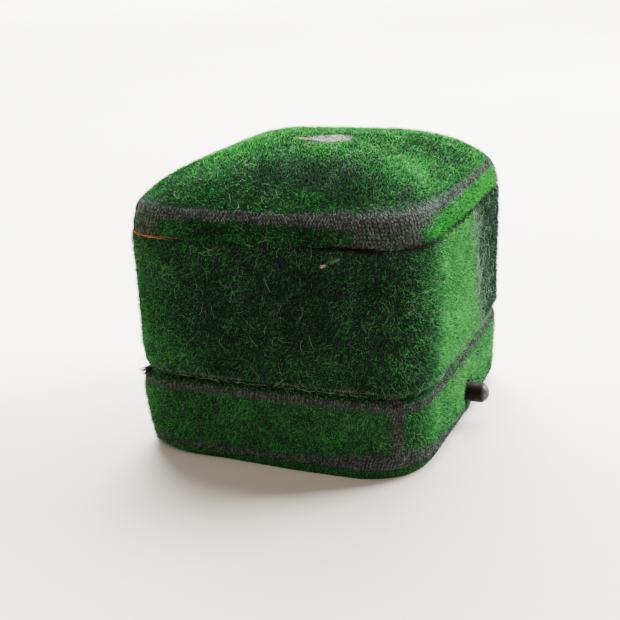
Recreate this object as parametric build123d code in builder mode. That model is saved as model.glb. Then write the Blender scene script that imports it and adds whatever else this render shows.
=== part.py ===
"""Velvet covered ring box with a domed lid and a push-button catch.

Millimetres, +Z up. The origin is on the floor under the middle of the box. The button is on the
front, towards -Y, and the hinge is on the back, towards +Y.
"""

from build123d import *
from collections import namedtuple
import os

os.makedirs("parts", exist_ok=True)

# ---------------------------------------------------------------- outside shape, over the velvet

box_width = 46.0  # across the base rim, along X
box_depth = 43.6  # across the base rim, along Y
side_bow = 0.5  # how far each side swells between its corners

foot_height = 2.4  # height of the bevel under the base
foot_bevel = 1.6  # how far that bevel runs in to the standing face
foot_flare_x = 0.9  # the sides lean out towards the foot ridge
foot_flare_y = -0.3
foot_corner = 8.4

base_height = 11.6  # floor to the edge of the base rim
base_bevel_height = 0.5
base_bevel_width = 1.1
rim_corner = 5.2

parting_gap = 0.3
lid_bevel_height = 1.0
lid_bevel_width = 1.1
lid_overhang_y = 0.1  # the lid rim stands this far outside the base rim, along Y
lid_plate_setback = 0.4  # from the velvet lip to the wood above the plate

lid_side_height = 19.7  # lid rim edge to the seam of the top piece
seam_flare_x = 0.3
seam_flare_y = 0.5
seam_corner = 6.6

crown_edge_height = 3.8  # seam to the ridge where the dome starts
crown_tuck_x = 0.4
crown_tuck_y = 0.7
crown_corner = 6.9
dome_rise = 6.2
dome_power = 3.3  # a high power keeps the middle of the dome flat
dome_shares = (1.0, 0.92, 0.82, 0.68, 0.5, 0.3, 0.12)

velvet_thickness = 0.9
seam_gap = 0.1
button_hole_play = 0.1  # between the button and the velvet round it

# ---------------------------------------------------------------- wood shells

wall_thickness_x = 2.5  # base walls at the rim
wall_thickness_y = 2.4
floor_thickness = 1.7
cavity_corner = 3.2
crown_wall = 3.5  # wood left around and above the hollow of the lid's top block

# ---------------------------------------------------------------- linings, rims and pads

rim_plate_thickness = 0.5
rim_plate_setback = 0.2  # from the velvet lip to the edge of the plate
collar_thickness = 0.9
collar_rise = 3.1  # above the base rim plate
collar_depth = 5.1  # below the base rim plate
lid_clearance = 0.35  # between the collar and the lid's inner wall
lining_thickness = 0.5
lining_clearance = 0.6  # above the top of the collar
lining_notch_clearance = 0.3  # round the striker
pad_card_thickness = 0.8
pad_clearance = 0.3  # round each ring pad
pad_rise = 3.6  # crown of the ring pads above the base rim plate
pad_crown = 3.0  # height of the rounded top of a pad
pad_corner = 2.0
pad_setback = 2.06  # room behind the leaf spring, for it to bend and for its rivet
ring_slot_width = 4.6
ring_slot_y = 0.9
lid_pad_thickness = 10.4
lid_pad_crown = 2.6

# ---------------------------------------------------------------- hinge

hinge_barrel_radius = 1.0
hinge_inset = 0.2  # from the velvet at the base rim to the hinge axis, along Y
knuckle_count = 5
knuckle_length = 4.0
knuckle_gap = 0.15
hinge_clearance = 0.3  # round the barrel
pin_radius = 0.5
pin_play = 0.05
leaf_thickness = 0.5
leaf_height = 6.2
nail_radius = 0.35
nail_head_radius = 0.65
nail_head_depth = 0.25
nail_length = 2.0
nail_spacing = 6.5
nail_inset = 1.8  # from the far edge of the leaf

# ---------------------------------------------------------------- button and catch

button_height = 4.8
button_radius = 1.5
button_play = 0.05
button_reach = 2.8  # barrel out of the front velvet
button_dome = 0.7
button_edge = 0.2  # chamfer round the end of the barrel
button_travel = 1.2
button_flange_radius = 1.95
button_flange_thickness = 0.3
plunger_radius = 0.95
plunger_nib_radius = 0.6
nib_gap = 0.1
bush_thickness = 0.55
bush_setback = 0.15  # its outer end lies just under the velvet

leaf_spring_thickness = 0.35
leaf_spring_standoff = 0.7  # wall to the front of the leaf spring
leaf_spring_height = 2.6
leaf_foot_length = 2.8
leaf_foot_inset = 0.2  # from the round corner of the tray to the foot
catch_half_width = 2.5
rivet_radius = 0.5
rivet_head_radius = 0.95
rivet_head_height = 0.45
rivet_head_round = 0.315
rivet_grip = 1.5  # how far a rivet goes into the wood

striker_half_width = 3.5
striker_thickness = 0.5
striker_drop = 2.5  # below the base rim plate
striker_rise = 7.4  # above the lid rim plate
striker_bar = 0.5
striker_corner = 0.8
striker_rivet_inset = 1.3  # from the top of the striker
striker_rivet_spacing = 2.4
window_half_width = 2.4
window_height = 2.3
nose_half_width = 1.8
nose_overlap = 0.1  # beyond the front of the striker
nose_height = 1.2
nose_gap = 0.1
nose_tip_share = 0.35  # the upright part of the nose's height; the rest slopes
catch_head = 0.4  # hook above its nose
catch_pocket = 0.9  # depth of the pocket in the front wall
pocket_clearance = 1.0


# ---------------------------------------------------------------- levels and outlines

Level = namedtuple("Level", "height half_x half_y corner bow")


def inset(level, by, lower=0.0):
    """The same outline drawn in by a thickness, and lowered."""
    return Level(level.height - lower, level.half_x - by, level.half_y - by, level.corner - by / 2, level.bow)


def outline(level):
    """One plan outline: four bowed sides and four round corners."""
    x, y, bow = level.half_x, level.half_y, level.bow
    with BuildSketch(Plane.XY.offset(level.height)) as sketch:
        with BuildLine():
            ThreePointArc((-x, -y), (0, -y - bow), (x, -y))
            ThreePointArc((x, -y), (x + bow, 0), (x, y))
            ThreePointArc((x, y), (0, y + bow), (-x, y))
            ThreePointArc((-x, y), (-x - bow, 0), (-x, -y))
        make_face()
        fillet(sketch.vertices(), level.corner)
    return sketch.sketch


def circle_facing_y(radius, y, x, z):
    """A round outline square to Y."""
    with BuildSketch(Plane((x, y, z), x_dir=(1, 0, 0), z_dir=(0, 1, 0))) as sketch:
        Circle(radius)
    return sketch.sketch


def loft_levels(levels, mode=Mode.ADD, ruled=True):
    """A solid through a stack of outlines."""
    loft([outline(level) for level in levels], ruled=ruled, mode=mode)


def prism(level, low, high, mode=Mode.ADD):
    """A straight-sided solid of one bowed outline."""
    extrude(outline(level._replace(height=low)), amount=high - low, mode=mode)


def block(half_x, half_y, corner, low, high, mode=Mode.ADD):
    """A straight-sided solid of a plain rounded rectangle."""
    with BuildSketch(Plane.XY.offset(low)) as sketch:
        RectangleRounded(2 * half_x, 2 * half_y, corner)
    extrude(sketch.sketch, amount=high - low, mode=mode)


def box_between(low, high, mode=Mode.ADD):
    """A box from its lowest corner to its highest corner."""
    middle = [(a + b) / 2 for a, b in zip(low, high)]
    with Locations(Location(middle)):
        Box(*[b - a for a, b in zip(low, high)], mode=mode)


def bar_along_x(radius, x_low, x_high, y, z, mode=Mode.ADD):
    """A round bar parallel to X."""
    with BuildSketch(Plane((x_low, y, z), x_dir=(0, 1, 0), z_dir=(1, 0, 0))) as sketch:
        Circle(radius)
    extrude(sketch.sketch, amount=x_high - x_low, mode=mode)


def bar_along_y(radius, y_low, y_high, x, z, mode=Mode.ADD):
    """A round bar parallel to Y."""
    extrude(circle_facing_y(radius, y_low, x, z), amount=y_high - y_low, mode=mode)


def cone_along_y(y_low, radius_low, y_high, radius_high, x, z, mode=Mode.ADD):
    """A cone parallel to Y."""
    ends = [circle_facing_y(radius_low, y_low, x, z), circle_facing_y(radius_high, y_high, x, z)]
    loft(ends, mode=mode)


def dome_levels(edge, rise):
    """Outlines from the ridge to the flat middle of the dome."""
    levels = []
    for share in dome_shares:
        height = edge.height + rise * (1 - share**dome_power)
        levels.append(Level(height, edge.half_x * share, edge.half_y * share, edge.corner * share, edge.bow * share))
    return levels


# Base, over the velvet, from the floor up.
rim_x = box_width / 2
rim_y = box_depth / 2
foot_ridge = Level(foot_height, rim_x + foot_flare_x, rim_y + foot_flare_y, foot_corner, side_bow)
foot = inset(foot_ridge, foot_bevel, foot_height)
base_rim = Level(base_height, rim_x, rim_y, rim_corner, side_bow)
base_lip = inset(base_rim, base_bevel_width, -base_bevel_height)

# Lid, over the velvet, from the parting line up.
lid_lip_height = base_lip.height + parting_gap
lid_rim = Level(lid_lip_height + lid_bevel_height, rim_x, rim_y + lid_overhang_y, rim_corner, side_bow)
lid_lip = inset(lid_rim, lid_bevel_width, lid_bevel_height)
seam_height = lid_rim.height + lid_side_height
seam = Level(seam_height, rim_x + seam_flare_x, rim_y + seam_flare_y, seam_corner, side_bow)
crown_edge = Level(
    seam_height + crown_edge_height, seam.half_x - crown_tuck_x, seam.half_y - crown_tuck_y, crown_corner, side_bow
)
box_height = crown_edge.height + dome_rise
parting_height = base_lip.height + parting_gap / 2

# Wood, one velvet thickness inside.
wood_foot = inset(foot, velvet_thickness / 2, -velvet_thickness)
wood_ridge = inset(foot_ridge, velvet_thickness)
wood_rim = inset(base_rim, velvet_thickness)
lid_plate_top = lid_lip_height + rim_plate_thickness
wood_lid_rim = inset(lid_rim, velvet_thickness, -rim_plate_thickness)
wood_lid_lip = inset(lid_lip, lid_plate_setback, -rim_plate_thickness)
wood_seam = inset(seam, velvet_thickness)
wood_crown = inset(crown_edge, velvet_thickness)
dome_wood_rise = dome_rise - velvet_thickness

# Hollows.
cavity_x = wood_rim.half_x - wall_thickness_x
cavity_y = wood_rim.half_y - wall_thickness_y
floor_top = velvet_thickness + floor_thickness
lid_cavity_x = cavity_x + lid_clearance
lid_cavity_y = cavity_y + lid_clearance
collar_top = base_lip.height + collar_rise
collar_bottom = base_lip.height - collar_depth
collar_x = cavity_x - collar_thickness
collar_y = cavity_y - collar_thickness

# Hinge.
hinge_y = rim_y - hinge_inset
hinge_length = knuckle_count * knuckle_length
leaf_front = hinge_y - hinge_barrel_radius
leaf_back = leaf_front + leaf_thickness
recess_radius = hinge_barrel_radius + hinge_clearance
recess_half = hinge_length / 2 + hinge_clearance

# Button and catch, along Y from the front.
button_face_share = (button_height - foot_height) / (base_height - foot_height)
button_face_y = -(foot_ridge.half_y + (rim_y - foot_ridge.half_y) * button_face_share + side_bow)
wood_face_y = button_face_y + velvet_thickness
wall_inner_y = -cavity_y
bush_radius = button_radius + button_play + bush_thickness
velvet_hole_radius = button_radius + button_hole_play
spring_front_y = wall_inner_y + leaf_spring_standoff
spring_back_y = spring_front_y + leaf_spring_thickness
striker_front_y = -lid_cavity_y
striker_back_y = striker_front_y + striker_thickness
nose_tip_y = striker_front_y - nose_overlap
striker_bottom = base_lip.height - striker_drop
striker_top = lid_lip_height + striker_rise
window_bottom = striker_bottom + striker_bar
nose_bottom = window_bottom + nose_gap
catch_top = nose_bottom + nose_height + catch_head
pocket_half = striker_half_width + pocket_clearance
pocket_bottom = striker_bottom - pocket_clearance
spring_low = button_height - leaf_spring_height / 2
spring_high = button_height + leaf_spring_height / 2
leaf_spring_root = cavity_x - cavity_corner - leaf_foot_inset - leaf_foot_length
foot_end = leaf_spring_root + leaf_foot_length
foot_middle = leaf_spring_root + leaf_foot_length / 2

# Pads.
pad_front_y = spring_back_y + pad_setback
pad_back_y = collar_y - pad_clearance
pad_half_x = collar_x - pad_clearance
card_top = floor_top + pad_card_thickness
pad_top = base_lip.height + pad_rise


def cut_barrel_recess():
    """Room for the hinge barrel along the back edge."""
    bar_along_x(recess_radius, -recess_half, recess_half, hinge_y, parting_height, Mode.SUBTRACT)


def cut_leaf_mortise(low, high):
    """Flat bed for a hinge leaf in the back wall."""
    box_between((-hinge_length / 2, leaf_front, low), (hinge_length / 2, rim_y + 2, high), Mode.SUBTRACT)


def nail_places():
    """X of each nail of a hinge leaf."""
    return [nail_spacing * i for i in (-1, 0, 1)]


def cut_nail_holes(height):
    """Holes for the three nails of a hinge leaf."""
    for x in nail_places():
        bar_along_y(nail_radius, leaf_back - nail_length, leaf_back, x, height, Mode.SUBTRACT)


def cut_catch_pocket():
    """Room for the striker and the catch inside the front wall."""
    low = (-pocket_half, wall_inner_y - catch_pocket, pocket_bottom)
    box_between(low, (pocket_half, wall_inner_y + 1, base_height + 1), Mode.SUBTRACT)


base_nail_height = parting_height - leaf_height + nail_inset
lid_nail_height = parting_height + leaf_height - nail_inset
upper_rivet_height = striker_top - striker_rivet_inset
striker_rivet_heights = (upper_rivet_height, upper_rivet_height - striker_rivet_spacing)
pieces = []


def finish(builder, label):
    """Name a finished piece and write its file."""
    builder.part.label = label
    export_step(builder.part, f"parts/{label}.step")
    pieces.append(label)


# ---------------------------------------------------------------- base: wood tray

with BuildPart() as base_tray:
    loft_levels([wood_foot, wood_ridge, wood_rim])
    block(cavity_x, cavity_y, cavity_corner, floor_top, base_height, Mode.SUBTRACT)
    cut_catch_pocket()
    cut_barrel_recess()
    cut_leaf_mortise(parting_height - leaf_height, parting_height)
    cut_nail_holes(base_nail_height)
    bar_along_y(bush_radius, wood_face_y - 1, wall_inner_y + 1, 0, button_height, Mode.SUBTRACT)
    rivet_deep_y = wall_inner_y - rivet_grip
    bar_along_y(rivet_radius, rivet_deep_y, wall_inner_y + 1, foot_middle, button_height, Mode.SUBTRACT)
finish(base_tray, "base_tray")

# ---------------------------------------------------------------- base: velvet

with BuildPart() as base_side_velvet:
    loft_levels([foot_ridge, base_rim, base_lip])
    loft_levels([wood_foot, wood_ridge, wood_rim], Mode.SUBTRACT)
    prism(inset(base_lip, rim_plate_setback), base_height, base_lip.height, Mode.SUBTRACT)
    cut_barrel_recess()
    bar_along_y(velvet_hole_radius, button_face_y - 1, wood_face_y + 1, 0, button_height, Mode.SUBTRACT)
    # The strip starts and ends in a butt joint at the front left corner.
    with Locations(Location((-foot_ridge.half_x, -foot_ridge.half_y, base_height / 2), (0, 0, 45))):
        Box(2 * foot_corner, seam_gap, 2 * base_height, mode=Mode.SUBTRACT)
finish(base_side_velvet, "base_side_velvet")

with BuildPart() as base_bottom_velvet:
    loft_levels([foot, foot_ridge])
    loft_levels([wood_foot, wood_ridge], Mode.SUBTRACT)
finish(base_bottom_velvet, "base_bottom_velvet")

# ---------------------------------------------------------------- base: rim plate and collar

with BuildPart() as base_rim_plate:
    prism(inset(base_lip, rim_plate_setback), base_height, base_lip.height)
    block(cavity_x, cavity_y, cavity_corner, base_height - 1, base_height + 2, Mode.SUBTRACT)
    box_between(
        (-pocket_half, wall_inner_y - catch_pocket, base_height - 1), (pocket_half, 0, base_height + 2), Mode.SUBTRACT
    )
    cut_barrel_recess()
finish(base_rim_plate, "base_rim_plate")

with BuildPart() as base_collar:
    block(cavity_x, cavity_y, cavity_corner, collar_bottom, collar_top)
    block(collar_x, collar_y, cavity_corner - collar_thickness, collar_bottom - 1, collar_top + 1, Mode.SUBTRACT)
    box_between((-pocket_half, -rim_y, collar_bottom - 1), (pocket_half, 0, collar_top + 1), Mode.SUBTRACT)
finish(base_collar, "base_collar")

# ---------------------------------------------------------------- base: ring pads

with BuildPart() as pad_card:
    box_between((-pad_half_x, pad_front_y, floor_top), (pad_half_x, pad_back_y, card_top))
    fillet(edges().filter_by(Axis.Z), cavity_corner - collar_thickness)
finish(pad_card, "pad_card")


def ring_pad(y_low, y_high):
    """One ring pad: a long roll with a rounded top."""
    shoulder = pad_top - pad_crown
    with BuildSketch(Plane.YZ.offset(-pad_half_x)) as sketch:
        with BuildLine():
            Line((y_low, shoulder), (y_low, card_top))
            Line((y_low, card_top), (y_high, card_top))
            Line((y_high, card_top), (y_high, shoulder))
            ThreePointArc((y_high, shoulder), ((y_low + y_high) / 2, pad_top), (y_low, shoulder))
        make_face()
    extrude(sketch.sketch, amount=2 * pad_half_x)
    fillet(edges().filter_by(Axis.Z), pad_corner)


with BuildPart() as ring_pad_front:
    ring_pad(pad_front_y, ring_slot_y - ring_slot_width / 2)
finish(ring_pad_front, "ring_pad_front")

with BuildPart() as ring_pad_back:
    ring_pad(ring_slot_y + ring_slot_width / 2, pad_back_y)
finish(ring_pad_back, "ring_pad_back")

# ---------------------------------------------------------------- hinge


def knuckle_spans(first, end_gap):
    """X span of every second knuckle, counted from the left end."""
    spans = []
    for i in range(first, knuckle_count, 2):
        start = -hinge_length / 2 + i * knuckle_length
        spans.append((start + end_gap, start + knuckle_length - end_gap))
    return spans


def hinge_leaf(low, high, own_first, bore_radius):
    """A flat leaf with its knuckles rolled round the pin."""
    box_between((-hinge_length / 2, leaf_front, low), (hinge_length / 2, leaf_back, high))
    for x_low, x_high in knuckle_spans(1 - own_first, -knuckle_gap):
        bar_along_x(recess_radius, x_low, x_high, hinge_y, parting_height, Mode.SUBTRACT)
    for x_low, x_high in knuckle_spans(own_first, knuckle_gap / 2):
        bar_along_x(hinge_barrel_radius, x_low, x_high, hinge_y, parting_height)
    bar_along_x(bore_radius, -hinge_length, hinge_length, hinge_y, parting_height, Mode.SUBTRACT)


def cut_leaf_nails(height):
    """Countersunk nail holes in a hinge leaf."""
    for x in nail_places():
        bar_along_y(nail_radius, leaf_front - 1, leaf_back, x, height, Mode.SUBTRACT)
        cone_along_y(
            leaf_back - nail_head_depth, nail_radius, leaf_back, nail_head_radius, x, height, Mode.SUBTRACT
        )


def hinge_nail(x, height):
    """A short countersunk nail."""
    bar_along_y(nail_radius, leaf_back - nail_length, leaf_back - nail_head_depth, x, height)
    cone_along_y(leaf_back - nail_head_depth, nail_radius, leaf_back, nail_head_radius, x, height)


with BuildPart() as hinge_base_leaf:
    hinge_leaf(parting_height - leaf_height, parting_height, 0, pin_radius)
    cut_leaf_nails(base_nail_height)
finish(hinge_base_leaf, "hinge_base_leaf")

with BuildPart() as hinge_lid_leaf:
    hinge_leaf(parting_height, parting_height + leaf_height, 1, pin_radius + pin_play)
    cut_leaf_nails(lid_nail_height)
finish(hinge_lid_leaf, "hinge_lid_leaf")

with BuildPart() as hinge_pin:
    bar_along_x(pin_radius, -hinge_length / 2, hinge_length / 2, hinge_y, parting_height)
finish(hinge_pin, "hinge_pin")

for side, height in (("base", base_nail_height), ("lid", lid_nail_height)):
    for number, x in enumerate(nail_places(), 1):
        with BuildPart() as nail:
            hinge_nail(x, height)
        finish(nail, f"hinge_{side}_nail_{number}")

# ---------------------------------------------------------------- button

with BuildPart() as button_bush:
    bar_along_y(bush_radius, wood_face_y + bush_setback, wall_inner_y, 0, button_height)
    bar_along_y(button_radius + button_play, wood_face_y - 1, wall_inner_y + 1, 0, button_height, Mode.SUBTRACT)
finish(button_bush, "button_bush")

button_end_y = button_face_y - button_reach
with BuildPart() as button_barrel:
    bar_along_y(button_radius, button_end_y, wall_inner_y, 0, button_height)
    chamfer(faces().sort_by(Axis.Y)[0].edges(), button_edge)
    bar_along_y(button_flange_radius, wall_inner_y, wall_inner_y + button_flange_thickness, 0, button_height)
    bar_along_y(plunger_radius, button_end_y - 1, wall_inner_y + 1, 0, button_height, Mode.SUBTRACT)
finish(button_barrel, "button_barrel")

nib_end_y = spring_front_y - nib_gap
flange_back_y = wall_inner_y + button_flange_thickness
dome_radius = ((button_radius - button_edge) ** 2 + button_dome**2) / (2 * button_dome)
with BuildPart() as button_plunger:
    # The domed end is the part of a ball that stands out in front of the barrel.
    with Locations((0, button_end_y - button_dome + dome_radius, button_height)):
        Sphere(dome_radius)
    split(bisect_by=Plane((0, button_end_y, button_height), z_dir=(0, -1, 0)))
    bar_along_y(plunger_radius, button_end_y, flange_back_y, 0, button_height)
    bar_along_y(plunger_nib_radius, flange_back_y, nib_end_y, 0, button_height)
finish(button_plunger, "button_plunger")

# ---------------------------------------------------------------- catch

with BuildPart() as spring_block:
    box_between((leaf_spring_root, wall_inner_y, spring_low), (foot_end, spring_front_y, spring_high))
    bar_along_y(rivet_radius, wall_inner_y - 1, spring_front_y + 1, foot_middle, button_height, Mode.SUBTRACT)
finish(spring_block, "spring_block")

with BuildPart() as leaf_spring:
    box_between((catch_half_width, spring_front_y, spring_low), (foot_end, spring_back_y, spring_high))
    bar_along_y(rivet_radius, spring_front_y - 1, spring_back_y + 1, foot_middle, button_height, Mode.SUBTRACT)
finish(leaf_spring, "leaf_spring")

with BuildPart() as spring_rivet:
    bar_along_y(rivet_radius, wall_inner_y - rivet_grip, spring_back_y, foot_middle, button_height)
    bar_along_y(rivet_head_radius, spring_back_y, spring_back_y + rivet_head_height, foot_middle, button_height)
    fillet(faces().sort_by(Axis.Y)[-1].edges(), rivet_head_round)
finish(spring_rivet, "spring_rivet")

with BuildPart() as catch_hook:
    box_between((-catch_half_width, spring_front_y, spring_low), (catch_half_width, spring_back_y, catch_top))
    # The nose is flat below, to hold, and sloped above, so that the closing lid pushes it back.
    with BuildSketch(Plane.YZ.offset(-nose_half_width)):
        with BuildLine():
            Polyline(
                (spring_front_y, nose_bottom),
                (nose_tip_y, nose_bottom),
                (nose_tip_y, nose_bottom + nose_height * nose_tip_share),
                (spring_front_y, nose_bottom + nose_height),
                close=True,
            )
        make_face()
    extrude(amount=2 * nose_half_width)
finish(catch_hook, "catch_hook")

# ---------------------------------------------------------------- lid: wood

with BuildPart() as lid_wall:
    loft_levels([wood_lid_lip, wood_lid_rim, wood_seam])
    block(lid_cavity_x, lid_cavity_y, cavity_corner, lid_plate_top - 1, seam_height + 1, Mode.SUBTRACT)
    cut_barrel_recess()
    cut_leaf_mortise(parting_height, parting_height + leaf_height)
    cut_nail_holes(lid_nail_height)
    for height in striker_rivet_heights:
        bar_along_y(rivet_radius, striker_front_y - rivet_grip, striker_front_y + 1, 0, height, Mode.SUBTRACT)
finish(lid_wall, "lid_wall")

hollow_top = crown_edge.height + dome_wood_rise - crown_wall
hollow_x = wood_crown.half_x - crown_wall
hollow_y = wood_crown.half_y - crown_wall
with BuildPart() as lid_top_block:
    loft_levels([wood_seam, wood_crown])
    loft_levels(dome_levels(wood_crown, dome_wood_rise), ruled=False)
    block(hollow_x, hollow_y, cavity_corner, seam_height - 1, hollow_top, Mode.SUBTRACT)
finish(lid_top_block, "lid_top_block")

# ---------------------------------------------------------------- lid: velvet

with BuildPart() as lid_side_velvet:
    loft_levels([lid_lip, lid_rim, seam])
    loft_levels([wood_lid_lip, wood_lid_rim, wood_seam], Mode.SUBTRACT)
    prism(inset(lid_lip, rim_plate_setback), lid_lip_height, lid_plate_top, Mode.SUBTRACT)
    cut_barrel_recess()
finish(lid_side_velvet, "lid_side_velvet")

with BuildPart() as lid_top_velvet:
    loft_levels([seam, crown_edge])
    loft_levels(dome_levels(crown_edge, dome_rise), ruled=False)
    loft_levels([wood_seam, wood_crown], Mode.SUBTRACT)
    loft_levels(dome_levels(wood_crown, dome_wood_rise), Mode.SUBTRACT, ruled=False)
finish(lid_top_velvet, "lid_top_velvet")

# ---------------------------------------------------------------- lid: rim plate and lining

with BuildPart() as lid_rim_plate:
    prism(inset(lid_lip, rim_plate_setback), lid_lip_height, lid_plate_top)
    block(lid_cavity_x, lid_cavity_y, cavity_corner, lid_lip_height - 1, lid_plate_top + 1, Mode.SUBTRACT)
    cut_barrel_recess()
finish(lid_rim_plate, "lid_rim_plate")

lining_bottom = collar_top + lining_clearance
lining_x = lid_cavity_x - lining_thickness
lining_y = lid_cavity_y - lining_thickness
notch_half = striker_half_width + lining_notch_clearance
with BuildPart() as lid_lining:
    block(lid_cavity_x, lid_cavity_y, cavity_corner, lining_bottom, seam_height)
    block(lining_x, lining_y, cavity_corner - lining_thickness, lining_bottom - 1, seam_height + 1, Mode.SUBTRACT)
    box_between(
        (-notch_half, -rim_y, lining_bottom - 1),
        (notch_half, 1 - lining_y, striker_top + lining_notch_clearance),
        Mode.SUBTRACT,
    )
finish(lid_lining, "lid_lining")

# ---------------------------------------------------------------- lid: satin pad

lid_card_bottom = hollow_top - pad_card_thickness
lid_pad_x = min(lining_x, hollow_x) - pad_clearance
lid_pad_y = min(lining_y, hollow_y) - pad_clearance
with BuildPart() as lid_pad_card:
    block(lid_pad_x, lid_pad_y, cavity_corner, lid_card_bottom, hollow_top)
finish(lid_pad_card, "lid_pad_card")

with BuildPart() as lid_satin_pad:
    block(lid_pad_x, lid_pad_y, cavity_corner, lid_card_bottom - lid_pad_thickness, lid_card_bottom)
    fillet(faces().sort_by(Axis.Z)[0].edges(), lid_pad_crown)
finish(lid_satin_pad, "lid_satin_pad")

# ---------------------------------------------------------------- lid: striker

with BuildPart() as striker:
    box_between(
        (-striker_half_width, striker_front_y, striker_bottom), (striker_half_width, striker_back_y, striker_top)
    )
    fillet(edges().filter_by(Axis.Y), striker_corner)
    box_between(
        (-window_half_width, striker_front_y - 1, window_bottom),
        (window_half_width, striker_back_y + 1, window_bottom + window_height),
        Mode.SUBTRACT,
    )
    for height in striker_rivet_heights:
        bar_along_y(rivet_radius, striker_front_y - 1, striker_back_y + 1, 0, height, Mode.SUBTRACT)
finish(striker, "striker")

for number, height in enumerate(striker_rivet_heights, 1):
    with BuildPart() as rivet:
        bar_along_y(rivet_radius, striker_front_y - rivet_grip, striker_back_y, 0, height)
        bar_along_y(rivet_head_radius, striker_back_y, striker_back_y + rivet_head_height, 0, height)
        fillet(faces().sort_by(Axis.Y)[-1].edges(), rivet_head_round)
    finish(rivet, f"striker_rivet_{number}")

# The hook turns about a point a third of the way along the free part of the spring.
catch_arm = leaf_spring_root - (leaf_spring_root - catch_half_width) / 3
print(f"{len(pieces)} pieces, box height {box_height:.2f}")
print(f"hinge axis at y {hinge_y:.3f}, z {parting_height:.3f}")
print(f"catch pivot at x {catch_arm:.3f}, y {spring_front_y:.3f}, ratio {1000 / catch_arm:.3f} rad per m")
print(f"button travel {button_travel}, catch angle {button_travel / catch_arm:.4f} rad")
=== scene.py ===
# %% [markdown]
# # A velvet ring box
# This lesson dresses the measured model of an old ring box. The box is a small wood shell, covered
# in green cotton velvet, with a domed lid, a push button and padded rolls that hold a ring. The
# measured model is loaded as a fixed frame, and every cloth, nap and thread is built round it.

# %% Load the measured model
import bmesh
import bpy
import math
import numpy as np
from mathutils import Matrix, Vector, noise


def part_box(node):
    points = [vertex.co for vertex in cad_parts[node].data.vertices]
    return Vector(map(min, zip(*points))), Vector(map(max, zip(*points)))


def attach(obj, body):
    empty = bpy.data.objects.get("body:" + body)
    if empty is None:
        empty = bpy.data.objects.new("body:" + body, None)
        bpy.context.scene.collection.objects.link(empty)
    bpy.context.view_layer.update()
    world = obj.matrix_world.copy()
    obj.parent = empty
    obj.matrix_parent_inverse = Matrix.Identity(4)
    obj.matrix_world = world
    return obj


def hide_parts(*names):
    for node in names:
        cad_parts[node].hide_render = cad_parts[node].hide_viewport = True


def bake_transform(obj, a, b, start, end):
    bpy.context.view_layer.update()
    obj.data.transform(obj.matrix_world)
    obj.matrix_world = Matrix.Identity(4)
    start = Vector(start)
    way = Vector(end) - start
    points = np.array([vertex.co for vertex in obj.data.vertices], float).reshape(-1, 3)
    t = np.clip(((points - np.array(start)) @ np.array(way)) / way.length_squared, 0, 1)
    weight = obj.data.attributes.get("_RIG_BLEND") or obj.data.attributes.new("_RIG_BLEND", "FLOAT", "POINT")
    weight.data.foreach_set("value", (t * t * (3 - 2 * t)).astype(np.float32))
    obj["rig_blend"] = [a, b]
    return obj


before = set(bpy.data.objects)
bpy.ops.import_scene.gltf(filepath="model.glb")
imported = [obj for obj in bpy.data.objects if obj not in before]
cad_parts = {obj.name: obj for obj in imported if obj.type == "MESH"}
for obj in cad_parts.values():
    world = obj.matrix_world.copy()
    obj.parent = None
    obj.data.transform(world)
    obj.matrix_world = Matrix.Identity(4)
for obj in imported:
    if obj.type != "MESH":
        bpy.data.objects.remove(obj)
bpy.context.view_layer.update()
MM = 0.001

# %% [markdown]
# The camera looks down a little at the front left corner, from about 17 cm away, with a long lens
# and a slight roll.

# %% Camera
CAMERA_AT = Vector((-147.85, -60.96, 70.63)) * MM
CAMERA_YAW = math.radians(66.52)
CAMERA_PITCH = math.radians(18.81)
CAMERA_ROLL = math.radians(-2.98)
CAMERA_LENS = 62.44


def camera_axes(yaw, pitch, roll):
    """Right, up and backward directions of a camera that looks along its yaw and down by its pitch."""
    level = math.cos(pitch)
    ahead = Vector((level * math.sin(yaw), level * math.cos(yaw), -math.sin(pitch)))
    level_right = Vector((math.cos(yaw), -math.sin(yaw), 0))
    level_up = level_right.cross(ahead)
    right = math.cos(roll) * level_right + math.sin(roll) * level_up
    up = math.cos(roll) * level_up - math.sin(roll) * level_right
    return right, up, -ahead


camera = bpy.data.objects.new("camera", bpy.data.cameras.new("camera"))
camera.data.lens = CAMERA_LENS
camera.data.clip_start = 0.005
camera.matrix_world = Matrix.Translation(CAMERA_AT) @ Matrix(
    camera_axes(CAMERA_YAW, CAMERA_PITCH, CAMERA_ROLL)
).transposed().to_4x4()
bpy.context.scene.collection.objects.link(camera)
bpy.context.scene.camera = camera
print("camera lens", camera.data.lens)

# %% [markdown]
# Small helpers make the node trees readable. `add_node` places a node and fills its inputs, either
# with a value or with another node's output. `plus`, `minus` and `times` are sums on outputs, and
# `new_group` makes a node group with named sockets.

# %% Node helpers
FLOAT, WHOLE = "NodeSocketFloat", "NodeSocketInt"
VECTOR, COLOR, GEOMETRY = "NodeSocketVector", "NodeSocketColor", "NodeSocketGeometry"


def link_or_set(tree, socket, value):
    """Link an output to an input, or set the input to a plain value."""
    if isinstance(value, bpy.types.NodeSocket):
        tree.links.new(value, socket)
    else:
        socket.default_value = value


def add_node(tree, kind, inputs=(), **settings):
    """Add one node, set its options, and fill or link its inputs."""
    node = tree.nodes.new(kind)
    for name, value in settings.items():
        setattr(node, name, value)
    for key, value in dict(inputs).items():
        link_or_set(tree, node.inputs[key], value)
    return node


def math_node(tree, operation, *values, clamp=False):
    """One Math node; values are numbers or outputs."""
    inputs = dict(enumerate(values))
    return add_node(tree, "ShaderNodeMath", inputs, operation=operation, use_clamp=clamp).outputs[0]


def plus(tree, first, second, clamp=False):
    """The sum of two values."""
    return math_node(tree, "ADD", first, second, clamp=clamp)


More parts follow.
